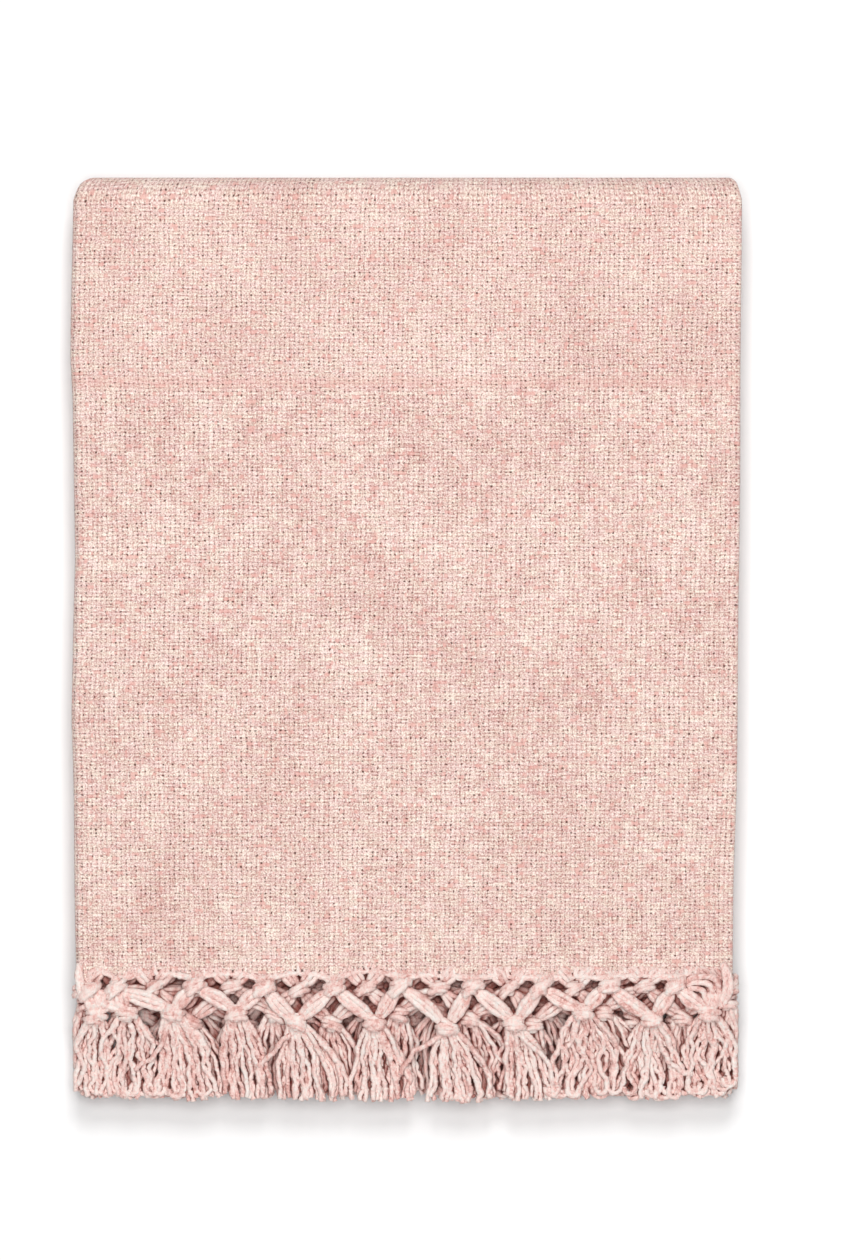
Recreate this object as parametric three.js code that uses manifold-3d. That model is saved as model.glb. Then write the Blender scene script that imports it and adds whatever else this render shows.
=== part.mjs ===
// A folded throw with a knotted fringe at each end, lying flat.
// A sheet of chenille cloth is folded in half twice across its width, which gives a strip four sheets
// deep, and that strip is folded in half twice along its length. Both fringed ends come out together at
// the near end and droop from the cloth to the surface.
// Millimetres, +Z up, +Y from the fringe to the long fold, +X to the right as seen from above.

import * as THREE from 'three';
import { mergeVertices } from 'three/addons/utils/BufferGeometryUtils.js';
import Module from 'manifold-3d';

const wasm = await Module();
wasm.setup();

// Driving dimensions of the cloth and its folds
const SHEET = 2.1;          // thickness of the cloth
const SHEET_GAP = 0.4;      // air between the four sheets of a strip
const STRIP_GAP = 1.0;      // air between the four strips of the stack
const NEAR_EDGE = 0;        // the cloth's edge, where the visible fringe starts
const STACK_LENGTH = 375.8; // from that edge to the outside of the long fold
const FOLD_CORNER = 8;      // centre-line radius of the long fold's two corners
const NEAR_FOLD_IN = 3;     // how far the hidden near fold stays behind the cloth's edge
const FAR_TAPER = 1.6;      // how far the cloth draws in at the outside of the long fold
const CORNER_LEFT = 6.7;    // rounding of the two far corners as seen from above
const CORNER_RIGHT = 4.4;

// Driving dimensions of the fringe
const PART_LINE = 0.3;      // parting between the cloth's edge and a fringe's strip
const STRIP_WIDTH = 3.4;    // width of a fringe's strip where no knot gathers it
const SCALLOP_TOP = 1.4;    // width of the front strip halfway between two knots
const FUNNEL_TOP = 10;      // half width of the threads gathered above a first knot
const FUNNEL_FOOT = 4.6;    // half width of those threads where they meet the knot
const FRINGE_REACH = 65.6;  // length of the fringe as seen from above
const ROOT_OUT = 3;         // where strands start inside the strip, out from the cloth's edge
const FIRST_BEND = 20;
const SECOND_BEND = 40;
const LANDING = 56;         // where the lowest row reaches the surface, and lies level from there on
const END_PITCH = 3.6;      // height from row to row where the strands end, fuller than at the cloth
const STRAND_DEPTH = 2;     // thickness of a strand or lock
const STRAND_FILL = 0.74;   // share of the room between two front strands that a strand takes
const STRANDS = 7;          // strands of a front tassel
const LOCK_WIDTH = 9;       // width of a lock in the rows behind
const LOCKS = 18;           // locks in each row behind
const LOCK_INSET = 8;       // how far the outer locks stay inside the cloth's sides
const RIBBON_WIDTH = 6.2;   // width of half a tassel's threads between its two knots
const RIBBON_DEPTH = 2.2;
const RIBBON_RISE = 0.6;    // how far those threads ride above the row's middle

// Half sizes of the two kinds of knot
const FIRST_KNOT = { across: 5.2, along: 3.4, high: 2.5 };
const SECOND_KNOT = { across: 4.7, along: 3.9, high: 2.5 };
const KNOT_RISE = 1.25;     // how far a knot's middle rides above the row's middle
const KNOT_RIDGE = 0.86;    // waist of a groove between two turns of a knot

// Sides of the stack seen from above: distance from the near edge, left side and right side
const SIDES = [
  { along: 0, left: -156.8, right: 155.7 },
  { along: 40, left: -157.5, right: 156.1 },
  { along: 80, left: -158.2, right: 157.1 },
  { along: 118, left: -159.4, right: 157.6 },
  { along: 156, left: -158.0, right: 158.5 },
  { along: 194, left: -156.7, right: 159.3 },
  { along: 232, left: -157.6, right: 159.5 },
  { along: 270, left: -158.2, right: 159.5 },
  { along: 290, left: -159.4, right: 159.5 },
  { along: 330, left: -159.2, right: 159.5 },
  { along: 376, left: -158.6, right: 159.4 },
];

// How far the sides of each strip stay inside that outline, from the bottom strip up
const STRIP_INSETS = [0.5, 1.3, 0.9, 0];

// Share of its fall that a row has lost at each bend, the same for every row, so that none meets another
const DROOP = [
  { out: ROOT_OUT, share: 0 },
  { out: FIRST_BEND, share: 0.22 },
  { out: SECOND_BEND, share: 0.76 },
  { out: FRINGE_REACH, share: 1 },
];
const DROOP_TO_SURFACE = [...DROOP.slice(0, 3), { out: LANDING, share: 1 }, { out: FRINGE_REACH, share: 1 }];

// Front tassels: place of the first knot, place of the second knot (x, and distance out from the cloth's
// edge), then the middle, half spread and reach of the strand ends. The first one hangs at the left fold.
const TASSELS = [
  { x1: -150.4, out1: 11.2, x2: -147.4, out2: 23.6, tip: -149.4, spread: 6.8, reach: 62.6 },
  { x1: -138.1, out1: 10.2, x2: -132.4, out2: 22.1, tip: -130.2, spread: 10.2, reach: 63.6 },
  { x1: -100.1, out1: 9.0, x2: -111.0, out2: 22.1, tip: -103.4, spread: 13.6, reach: 64.4 },
  { x1: -67.3, out1: 10.2, x2: -80.6, out2: 22.4, tip: -75.6, spread: 9.6, reach: 64.0 },
  { x1: -34.0, out1: 10.2, x2: -52.0, out2: 26.6, tip: -43.6, spread: 14.6, reach: 65.0 },
  { x1: -2.6, out1: 9.0, x2: -14.5, out2: 27.2, tip: -9.6, spread: 14.2, reach: 65.2 },
  { x1: 31.6, out1: 9.7, x2: 19.7, out2: 29.2, tip: 25.8, spread: 14.6, reach: 65.6 },
  { x1: 64.9, out1: 9.7, x2: 52.0, out2: 27.2, tip: 58.4, spread: 10.6, reach: 64.6 },
  { x1: 96.7, out1: 9.3, x2: 84.4, out2: 21.8, tip: 87.6, spread: 13.6, reach: 64.4 },
  { x1: 128.1, out1: 9.3, x2: 117.2, out2: 25.2, tip: 118.6, spread: 11.6, reach: 64.8 },
  { x1: 147.6, out1: 10.6, x2: 144.3, out2: 22.4, tip: 145.8, spread: 10.6, reach: 62.8 },
];

// Sizes that follow from those above
const SHEET_PITCH = SHEET + SHEET_GAP;
const STRIP = 4 * SHEET + 3 * SHEET_GAP;
const STRIP_PITCH = STRIP + STRIP_GAP;
const SHEET_HEIGHTS = [1.5, 0.5, -0.5, -1.5].map((step) => step * SHEET_PITCH);
const STRIP_HEIGHTS = [0, 1, 2, 3].map((step) => STRIP / 2 + step * STRIP_PITCH);
const [BOTTOM, LOWER, UPPER, TOP] = STRIP_HEIGHTS;
const INNER_FOLD = STRIP_PITCH / 2;
const OUTER_FOLD = (TOP - BOTTOM) / 2;
const FAR_LINE = STACK_LENGTH - STRIP / 2;
const FOLD_CENTRE = FAR_LINE - OUTER_FOLD;
const NEAR_CENTRE = NEAR_EDGE + NEAR_FOLD_IN + INNER_FOLD + STRIP / 2;
const SIDE_LEFT = -158;
const SIDE_RIGHT = 158;
const QUARTER = Math.PI / 2;

// The rows of fringe from the front one down: where each leaves the cloth and where its ends lie
const ROOTS = [TOP, UPPER].flatMap((strip) => SHEET_HEIGHTS.map((height) => strip + height));
const ROWS = ROOTS.map((root, row) => {
  const below = ROOTS.length - 1 - row;
  const droop = below === 0 ? DROOP_TO_SURFACE : DROOP;
  return { root, end: STRAND_DEPTH / 2 + below * END_PITCH, droop };
});
const [FRONT_ROW] = ROWS;

const chenille = new THREE.MeshStandardMaterial({ color: 0xeaccc2, roughness: 0.95, metalness: 0 });
const fringeYarn = new THREE.MeshStandardMaterial({ color: 0xdfbcb4, roughness: 0.95, metalness: 0 });

function blend(a, b, share) {
  return a + (b - a) * share;
}

// Evenly spaced values from a to b, both included
function spaced(a, b, steps) {
  return Array.from({ length: steps + 1 }, (_, step) => blend(a, b, step / steps));
}

// Value of a table's named column at a place between two rows of its first column
function tableAt(table, key, place, column) {
  const high = Math.max(1, table.findIndex((row) => row[key] >= place));
  const [a, b] = place > table.at(-1)[key] ? table.slice(-2) : [table[high - 1], table[high]];
  const share = THREE.MathUtils.clamp((place - a[key]) / (b[key] - a[key]), 0, 1);
  return blend(a[column], b[column], share);
}

// Left and right side of the stack at a distance from the near edge
function sidesAt(along) {
  return { left: tableAt(SIDES, 'along', along, 'left'), right: tableAt(SIDES, 'along', along, 'right') };
}

// The strip's cross-section: the line through the middle of the cloth, with its normal at each point.
// It runs from the selvage of the third sheet to the left fold, back along the second sheet to the right
// fold, along the top sheet to the outer left fold, and along the fourth sheet to the other selvage.
// Extra places across the top sheet are given where its edge has a shape of its own.
function stripSection(topPlaces) {
  const [first, second, third, fourth] = SHEET_HEIGHTS;
  const leftCentre = SIDE_LEFT + first + SHEET / 2;
  const rightRadius = SHEET_PITCH / 2;
  const rightCentre = SIDE_RIGHT - rightRadius - SHEET / 2;
  const middle = (leftCentre + rightCentre) / 2;
  const line = [];
  const point = (x, h, nx, nh) => line.push({ x, h, nx, nh });
  point(SIDE_RIGHT - 4.2, third, 0, 1);
  point(middle, third, 0, 1);
  for (const angle of spaced(-QUARTER, -3 * QUARTER, 4)) {
    const [c, s] = [Math.cos(angle), Math.sin(angle)];
    point(leftCentre + second * c, second * s, -c, -s);
  }
  point(middle, second, 0, -1);
  for (const angle of spaced(-QUARTER, QUARTER, 4)) {
    const [c, s] = [Math.cos(angle), Math.sin(angle)];
    point(rightCentre + rightRadius * c, (first + second) / 2 + rightRadius * s, c, s);
  }
  for (const x of topPlaces ?? [middle]) {
    point(x, first, 0, 1);
  }
  for (const angle of spaced(QUARTER, 3 * QUARTER, 6)) {
    const [c, s] = [Math.cos(angle), Math.sin(angle)];
    point(leftCentre + first * c, first * s, c, s);
  }
  point(middle, fourth, 0, -1);
  point(SIDE_RIGHT - 2.4, fourth, 0, -1);
  return orientNormals(line);
}

// Normals all on the same hand of the line's direction of travel
function orientNormals(line) {
  return line.map((point, index) => {
    const before = line[Math.max(index - 1, 0)];
    const after = line[Math.min(index + 1, line.length - 1)];
    const hand = (after.x - before.x) * point.nh - (after.h - before.h) * point.nx;
    const sign = hand < 0 ? -1 : 1;
    return { ...point, nx: sign * point.nx, nh: sign * point.nh };
  });
}

// A closed mesh from numbered points and triangles, turned so that its faces point out
function closedMesh(points, triangles) {
  const geometry = new THREE.BufferGeometry();
  geometry.setAttribute('position', new THREE.Float32BufferAttribute(points.flatMap((p) => p.toArray()), 3));
  let volume = 0;
  for (const [a, b, c] of triangles) {
    volume += points[a].dot(new THREE.Vector3().crossVectors(points[b], points[c]));
  }
  const outward = volume > 0 ? triangles : triangles.map(([a, b, c]) => [a, c, b]);
  geometry.setIndex(outward.flat());
  return geometry;
}

// A sheet of cloth: the section's line placed at each station, given the cloth's thickness
function sheetSolid(section, stations) {
  const points = [];
  const triangles = [];
  const across = section.length;
  const at = (station, index, side) => (station * across + index) * 2 + side;
  const quad = (a, b, c, d) => triangles.push([a, b, c], [a, c, d]);
  for (const place of stations) {
    for (const { x, h, nx, nh } of section) {
      for (const side of [1, -1]) {
        const half = (side * SHEET) / 2;
        points.push(place(x + half * nx, h + half * nh, x, h));
      }
    }
  }
  const last = stations.length - 1;
  for (let s = 0; s < last; s += 1) {
    for (let i = 0; i < across - 1; i += 1) {
      quad(at(s, i, 0), at(s, i + 1, 0), at(s + 1, i + 1, 0), at(s + 1, i, 0));
      quad(at(s, i, 1), at(s + 1, i, 1), at(s + 1, i + 1, 1), at(s, i + 1, 1));
    }
    quad(at(s, 0, 0), at(s + 1, 0, 0), at(s + 1, 0, 1), at(s, 0, 1));
    quad(at(s, across - 1, 0), at(s, across - 1, 1), at(s + 1, across - 1, 1), at(s + 1, across - 1, 0));
  }
  for (let i = 0; i < across - 1; i += 1) {
    quad(at(0, i, 0), at(0, i, 1), at(0, i + 1, 1), at(0, i + 1, 0));
    quad(at(last, i, 0), at(last, i + 1, 0), at(last, i + 1, 1), at(last, i, 1));
  }
  return closedMesh(points, triangles);
}

// The line that the strip follows as it folds back and forth, from the visible edge to the hidden one.
// Each station has its place in the y-z plane, the direction of the strip's height and its side inset.
function foldLine() {
  const line = [];
  const station = (y, z, ny, nz, inset) => line.push({ y, z, ny, nz, inset });
  const bend = (cy, cz, radius, from, to, steps, facing, insetFrom, insetTo) => {
    spaced(from, to, steps).forEach((angle, step) => {
      const [c, s] = [Math.cos(angle), Math.sin(angle)];
      const inset = blend(insetFrom, insetTo, step / steps);
      station(cy + radius * c, cz + radius * s, facing * c, facing * s, inset);
    });
  };
  const [bottomIn, lowerIn, upperIn, topIn] = STRIP_INSETS;
  const cornerLine = FAR_LINE - FOLD_CORNER;
  for (const { along } of SIDES.slice(0, -1)) {
    station(along, TOP, 0, 1, topIn);
  }
  bend(cornerLine, TOP - FOLD_CORNER, FOLD_CORNER, QUARTER, 0, 4, 1, topIn, FAR_TAPER);
  bend(cornerLine, BOTTOM + FOLD_CORNER, FOLD_CORNER, 0, -QUARTER, 4, 1, FAR_TAPER, bottomIn);
  for (const y of spaced(cornerLine, NEAR_CENTRE, 4).slice(1, -1)) {
    station(y, BOTTOM, 0, -1, bottomIn);
  }
  const lowerMiddle = (BOTTOM + LOWER) / 2;
  bend(NEAR_CENTRE, lowerMiddle, INNER_FOLD, -QUARTER, -3 * QUARTER, 6, 1, bottomIn, lowerIn);
  for (const y of spaced(NEAR_CENTRE, FOLD_CENTRE, 4).slice(1, -1)) {
    station(y, LOWER, 0, 1, lowerIn);
  }
  const upperMiddle = (LOWER + UPPER) / 2;
  bend(FOLD_CENTRE, upperMiddle, INNER_FOLD, -QUARTER, QUARTER, 6, -1, lowerIn, upperIn);
  for (const y of spaced(FOLD_CENTRE, NEAR_EDGE, 4).slice(1)) {
    station(y, UPPER, 0, -1, upperIn);
  }
  return line;
}

// How far a side draws in where a far corner is rounded in plan
function cornerRound(y, radius) {
  const reach = THREE.MathUtils.clamp((y - STACK_LENGTH + radius) / radius, 0, 0.98);
  return radius * (1 - Math.sqrt(1 - reach * reach));
}

// Moves a place across the section from the section's own width to the stack's width there
function fitAcross(x, y, inset, planY = y) {
  const { left, right } = sidesAt(y);
  const moveLeft = left + inset + cornerRound(planY, CORNER_LEFT) - SIDE_LEFT;
  const moveRight = right - inset - cornerRound(planY, CORNER_RIGHT) - SIDE_RIGHT;
  const share = (x - SIDE_LEFT) / (SIDE_RIGHT - SIDE_LEFT);
  return x + blend(moveLeft, moveRight, share);
}

function foldedCloth() {
  const stations = foldLine().map(({ y, z, ny, nz, inset }) => (x, h) => {
    const planY = y + h * ny;
    return new THREE.Vector3(fitAcross(x, y, inset, planY), planY, z + h * nz);
  });
  return sheetSolid(stripSection(), stations);
}

// Height of a row's middle at a distance out from the cloth's edge
function rowHeight(row, out) {
  return blend(row.root, row.end, tableAt(row.droop, 'out', out, 'share'));
}

// A place in a row of the fringe, raised off the row's middle along the droop's own normal
function rowPlace(x, out, row, rise) {
  const step = 0.5;
  const middle = Math.min(out, FRINGE_REACH - step);
  const slope = Math.atan2(rowHeight(row, middle - step) - rowHeight(row, middle + step), 2 * step);
  const y = NEAR_EDGE - out - rise * Math.sin(slope);
  return new THREE.Vector3(x, y, rowHeight(row, out) + rise * Math.cos(slope));
}

// A four-sided strand through points of a row, given as x, distance out and width
function strand(points, row, depth, rise) {
  const corners = [];
  const triangles = [];
  points.forEach(({ x, out, width }, index) => {
    const before = points[Math.max(index - 1, 0)];
    const after = points[Math.min(index + 1, points.length - 1)];
    const lean = Math.atan2(after.x - before.x, after.out - before.out);
    const [dx, dOut] = [Math.cos(lean) * width * 0.5, -Math.sin(lean) * width * 0.5];
    for (const [side, face] of [[-1, -1], [1, -1], [1, 1], [-1, 1]]) {
      corners.push(rowPlace(x + side * dx, out + side * dOut, row, rise + (face * depth) / 2));
    }
  });
  for (let ring = 0; ring < points.length - 1; ring += 1) {
    for (let side = 0; side < 4; side += 1) {
      const [a, b] = [ring * 4 + side, ring * 4 + ((side + 1) % 4)];
      triangles.push([a, b, b + 4], [a, b + 4, a + 4]);
    }
  }
  const end = (points.length - 1) * 4;
  triangles.push([0, 2, 1], [0, 3, 2], [end, end + 1, end + 2], [end, end + 2, end + 3]);
  return closedMesh(corners, triangles);
}

// A ridged knot lying across a row: turns of thread side by side, with a groove between each two
function knot(x, out, row, { across, along, high }) {
  const SIDES_AROUND = 6;
  const rings = [
    { place: -1, size: 0.55 },
    { place: -0.5, size: 1 },
    { place: 0, size: KNOT_RIDGE },
    { place: 0.5, size: 1 },
    { place: 1, size: 0.55 },
  ];
  const points = [];
  const triangles = [];
  for (const { place, size } of rings) {
    for (let side = 0; side < SIDES_AROUND; side += 1) {
      const angle = ((side + 0.5) / SIDES_AROUND) * 2 * Math.PI;
      const outward = along * size * Math.cos(angle);
      const upward = KNOT_RISE + high * size * Math.sin(angle);
      points.push(rowPlace(x + across * place, out + outward, row, upward));
    }
  }
  for (let ring = 0; ring < rings.length - 1; ring += 1) {
    for (let side = 0; side < SIDES_AROUND; side += 1) {
      const a = ring * SIDES_AROUND + side;
      const b = ring * SIDES_AROUND + ((side + 1) % SIDES_AROUND);
      triangles.push([a, b, b + SIDES_AROUND], [a, b + SIDES_AROUND, a + SIDES_AROUND]);
    }
  }
  const lastRing = (rings.length - 1) * SIDES_AROUND;
  for (let side = 1; side < SIDES_AROUND - 1; side += 1) {
    triangles.push([0, side + 1, side], [lastRing, lastRing + side, lastRing + side + 1]);
  }
  return closedMesh(points, triangles);
}

// The narrow strip of last threads that a fringe hangs from, in the cloth's own folded section
function fringeStrip(section, height, facing, widthAt) {
  const inset = height === TOP ? STRIP_INSETS[3] : STRIP_INSETS[2];
  const placed = (x, h, width) => {
    const y = NEAR_EDGE - PART_LINE - width;
    return new THREE.Vector3(fitAcross(x, 0, inset), y, height + facing * h);
  };
  const start = (x, h) => placed(x, h, 0);
  const end = (x, h, lineX, lineH) => placed(x, h, widthAt(lineX, lineH));
  return sheetSolid(section, [start, end]);
}

// Strands of one front tassel, spread from its second knot to their ends
function tasselStrands({ x2, out2, tip, spread, reach }, number) {
  return spaced(-1, 1, STRANDS - 1).map((side, index) => {
    const wave = Math.sin(1.7 * index + 2.3 * number);
    const start = out2 + 2.4;
    const end = reach - 1.4 * Math.abs(side) - 0.8 * Math.abs(wave);
    const neckHalf = SECOND_KNOT.across - 0.9;
    const neck = x2 + side * neckHalf;
    const foot = tip + side * spread;
    const points = [
      { out: start, drift: 0 },
      { out: SECOND_BEND, drift: -0.12 * wave },
      { out: end, drift: 0.1 * wave },
    ];
    const placed = points.map(({ out, drift }) => {
      const share = (out - start) / (end - start);
      const room = (blend(neckHalf, spread, share) * 2) / (STRANDS - 1);
      return { x: blend(neck, foot, share) + drift * room, out, width: STRAND_FILL * room };
    });
    return strand(placed, FRONT_ROW, STRAND_DEPTH, 0);
  });
}

// Front row: first knots under the cloth's edge, threads of two neighbours meeting in each second knot,
// and the tassels below. The tassel at the left fold has no neighbour on its left, so it takes threads
// from the one on its right instead.
function frontRow() {
  const pieces = [];
  TASSELS.forEach((tassel, number) => {
    const { x1, out1, x2, out2 } = tassel;
    pieces.push(knot(x1, out1, FRONT_ROW, FIRST_KNOT));
    pieces.push(knot(x2, out2, FRONT_ROW, SECOND_KNOT));
    pieces.push(...tasselStrands(tassel, number));
    for (const above of [tassel, TASSELS[number === 0 ? 1 : number - 1]]) {
      const side = Math.sign(above.x1 - x2);
      const ribbon = [
        { x: above.x1 - side * 2.7, out: above.out1 + 1.5, width: RIBBON_WIDTH * 0.68 },
        { x: blend(above.x1, x2, 0.52), out: blend(above.out1, out2, 0.5), width: RIBBON_WIDTH },
        { x: x2 + side * 2.5, out: out2 - 1.5, width: RIBBON_WIDTH * 0.65 },
      ];
      pieces.push(strand(ribbon, FRONT_ROW, RIBBON_DEPTH, RIBBON_RISE));
    }
  });
  return pieces;
}

// A plain row of locks behind the front row, set between those of the row above it. The lowest row has
// one more bend, so that its ends lie level on the surface.
function backRow(row, number) {
  const { left, right } = sidesAt(0);
  const pitch = (right - left - 2 * LOCK_INSET) / (LOCKS - 0.5);
  const firstPlace = left + LOCK_INSET + (number % 2 === 0 ? 0 : pitch / 2);
  const lowest = row === ROWS.at(-1);
  return Array.from({ length: LOCKS }, (_, index) => {
    const x = firstPlace + index * pitch;
    const wave = Math.sin(2.1 * index + 1.3 * number);
    const sway = 1.8 * Math.cos(1.3 * index + 0.9 * number);
    const reach = FRINGE_REACH - 2.6 + 1.6 * wave;
    const foot = x + sway + 0.5 * wave;
    const points = [
      { x, out: ROOT_OUT, width: 0.55 * LOCK_WIDTH },
      { x: x + 0.3 * sway, out: FIRST_BEND, width: 0.8 * LOCK_WIDTH },
      { x: x + 0.8 * sway, out: SECOND_BEND, width: LOCK_WIDTH },
      ...(lowest ? [{ x: foot, out: LANDING, width: LOCK_WIDTH }] : []),
      { x: foot, out: reach, width: 0.9 * LOCK_WIDTH },
    ];
    return strand(points, row, STRAND_DEPTH, 0);
  });
}

function toSolid(geometry) {
  geometry.deleteAttribute('normal');
  geometry.deleteAttribute('uv');
  const merged = mergeVertices(geometry, 1e-4);
  return new wasm.Manifold(new wasm.Mesh({
    numProp: 3,
    vertProperties: new Float32Array(merged.attributes.position.array),
    triVerts: new Uint32Array(merged.index.array),
  }));
}

function joined(geometries) {
  const solid = geometries.map(toSolid).reduce((sum, piece) => sum.add(piece));
  const mesh = solid.getMesh();
  const geometry = new THREE.BufferGeometry();
  geometry.setAttribute('position', new THREE.BufferAttribute(new Float32Array(mesh.vertProperties), 3));
  geometry.setIndex(new THREE.BufferAttribute(new Uint32Array(mesh.triVerts), 1));
  return geometry;
}

// Places across the top sheet where the front strip's edge changes: the corners of each gathered funnel
function funnelPlaces() {
  const corners = [-FUNNEL_TOP, -FUNNEL_FOOT, FUNNEL_FOOT, FUNNEL_TOP];
  const places = TASSELS.flatMap(({ x1 }) => corners.map((corner) => x1 + corner));
  const leftLimit = SIDE_LEFT + SHEET_HEIGHTS[0] + SHEET;
  const rightLimit = SIDE_RIGHT - SHEET_PITCH - SHEET;
  const kept = places.filter((x) => x > leftLimit && x < rightLimit);
  return kept.sort((a, b) => b - a);
}

// Width of the front strip across the top sheet: a funnel of threads runs down to each first knot
function frontStripWidth(x, h) {
  if (h < SHEET_HEIGHTS[0] - 0.1) {
    return STRIP_WIDTH;
  }
  const nearest = TASSELS.reduce((best, tassel) => {
    return Math.abs(tassel.x1 - x) < Math.abs(best.x1 - x) ? tassel : best;
  });
  const away = Math.abs(nearest.x1 - x);
  const share = THREE.MathUtils.clamp((FUNNEL_TOP - away) / (FUNNEL_TOP - FUNNEL_FOOT), 0, 1);
  return blend(SCALLOP_TOP, nearest.out1 - FIRST_KNOT.along + 0.5, share);
}

function upperFringe() {
  const section = stripSection(funnelPlaces());
  const rows = ROWS.slice(1, 4).flatMap((row, number) => backRow(row, number + 1));
  return joined([fringeStrip(section, TOP, 1, frontStripWidth), ...frontRow(), ...rows]);
}

function lowerFringe() {
  const strip = fringeStrip(stripSection(), UPPER, -1, () => STRIP_WIDTH);
  const rows = ROWS.slice(4).flatMap((row, number) => backRow(row, number + 4));
  return joined([strip, ...rows]);
}

function piece(name, geometry, material) {
  const mesh = new THREE.Mesh(geometry, material);
  mesh.name = name;
  return mesh;
}

const throwGroup = new THREE.Group();
throwGroup.add(piece('cloth', foldedCloth(), chenille));
throwGroup.add(piece('fringe_upper', upperFringe(), fringeYarn));
throwGroup.add(piece('fringe_lower', lowerFringe(), fringeYarn));

// The origin is under the middle of the whole thing
const centre = new THREE.Box3().setFromObject(throwGroup, true).getCenter(new THREE.Vector3());
throwGroup.position.set(-centre.x, -centre.y, 0);

export default throwGroup;
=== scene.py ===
# %% [markdown]
# # A folded chenille throw with a knotted fringe
# The throw is one woven panel. Its warp yarns run on past the last weft at each end, and there they are
# knotted into tassels. The panel is folded in half twice across its width and twice along its length, so
# that both fringes come out together at the near end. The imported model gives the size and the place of
# everything, so the first step is to load it and to keep its box.

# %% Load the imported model
import math

import bpy
import numpy as np
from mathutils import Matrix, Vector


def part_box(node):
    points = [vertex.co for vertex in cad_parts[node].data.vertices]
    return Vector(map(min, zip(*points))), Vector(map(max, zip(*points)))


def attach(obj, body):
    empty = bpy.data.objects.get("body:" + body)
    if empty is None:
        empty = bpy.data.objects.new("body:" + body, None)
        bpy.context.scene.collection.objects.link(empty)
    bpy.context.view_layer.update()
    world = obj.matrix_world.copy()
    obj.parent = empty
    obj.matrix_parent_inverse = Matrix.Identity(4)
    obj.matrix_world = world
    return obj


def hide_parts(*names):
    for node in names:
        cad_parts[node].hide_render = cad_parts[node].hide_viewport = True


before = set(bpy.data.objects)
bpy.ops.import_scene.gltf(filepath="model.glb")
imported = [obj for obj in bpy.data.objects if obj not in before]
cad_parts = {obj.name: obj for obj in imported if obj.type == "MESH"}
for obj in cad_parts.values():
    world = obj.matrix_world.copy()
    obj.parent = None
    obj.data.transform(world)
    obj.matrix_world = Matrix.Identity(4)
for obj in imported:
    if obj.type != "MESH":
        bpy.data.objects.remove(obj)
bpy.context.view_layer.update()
MM = 0.001
cloth_low, cloth_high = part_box("cloth")
print("cloth box in mm", [round(c / MM, 1) for c in (*cloth_low, *cloth_high)])

# %% [markdown]
# ## Camera
# The throw was laid flat and seen from straight above through a long lens, so its sides hardly show. The
# frame's height in metres follows from the scale of the picture: one pixel is 0.475 mm. A camera three
# metres up with a long lens gives the same view.

# %% Camera straight above
PIXEL = 0.4753 * MM
FRAME_PIXELS = (841, 1260)
OBJECT_PIXEL = (405.5, 640.5)
CAMERA_HEIGHT = 3.0
SENSOR = 36.0
stack_height = cloth_high[2]
frame_height = FRAME_PIXELS[1] * PIXEL

camera_data = bpy.data.cameras.new("Camera")
camera_data.sensor_fit = "VERTICAL"
camera_data.sensor_height = SENSOR
camera_data.lens = SENSOR * (CAMERA_HEIGHT - stack_height) / frame_height
camera = bpy.data.objects.new("Camera", camera_data)
camera.location = (
    (FRAME_PIXELS[0] / 2 - OBJECT_PIXEL[0]) * PIXEL,
    (OBJECT_PIXEL[1] - FRAME_PIXELS[1] / 2) * PIXEL,
    CAMERA_HEIGHT,
)
bpy.context.collection.objects.link(camera)
bpy.context.scene.camera = camera
print("lens", round(camera_data.lens, 1), "mm")

# %% [markdown]
# ## Light
# The light is soft and even. Most of it comes from straight above, some from beyond the far end, and a
# weak fill from low in front, so the only clear shadow lies at the ends of the fringe. Large square lamps
# give soft shadows, and a weak white world lightens what they leave dark.

# %% Three lamps and a white world
LAMPS = [
    # name, place in metres, side in metres, watts
    ("key_light", (0.03, 1.1, 2.1), 0.7, 26),
    ("top_light", (-0.03, 0.15, 2.7), 0.9, 43),
    ("front_light", (0.1, -1.9, 1.3), 0.8, 14),
]
SKY = 0.12

for name, lamp_place, side, watts in LAMPS:
    lamp_data = bpy.data.lights.new(name, "AREA")
    lamp_data.shape = "SQUARE"
    lamp_data.size = side
    lamp_data.energy = watts
    lamp = bpy.data.objects.new(name, lamp_data)
    lamp.location = lamp_place
    towards_throw = -lamp.location
    lamp.rotation_euler = towards_throw.to_track_quat("-Z", "Y").to_euler()
    bpy.context.collection.objects.link(lamp)

bpy.context.scene.view_settings.view_transform = "Standard"
world = bpy.data.worlds.new("studio")
bpy.context.scene.world = world
world.use_nodes = True
background = world.node_tree.nodes["Background"]
background.inputs["Color"].default_value = (1, 1, 1, 1)
background.inputs["Strength"].default_value = SKY
print("lamps", len(LAMPS))

# %% [markdown]
# ## Floor
# The throw lies on plain white studio paper, a large sheet without gloss.

# %% White floor
FLOOR_SIDE = 6
PAPER_WHITE = 0.87

bpy.ops.object.select_all(action="DESELECT")
bpy.ops.mesh.primitive_plane_add(size=FLOOR_SIDE, location=(0, 0, 0))
floor = bpy.context.object
floor.name = "floor"

# Matt white paper: an even, slightly grey white without any shine
floor_material = bpy.data.materials.new("white_floor")
floor_material.use_nodes = True
floor_shader = floor_material.node_tree.nodes["Principled BSDF"]
floor_shader.inputs["Base Color"].default_value = (PAPER_WHITE, PAPER_WHITE, PAPER_WHITE, 1)
floor_shader.inputs["Roughness"].default_value = 0.9
floor_shader.inputs["Specular IOR Level"].default_value = 0.0
floor.data.materials.append(floor_material)
print("floor", FLOOR_SIDE, "m wide")

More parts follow.
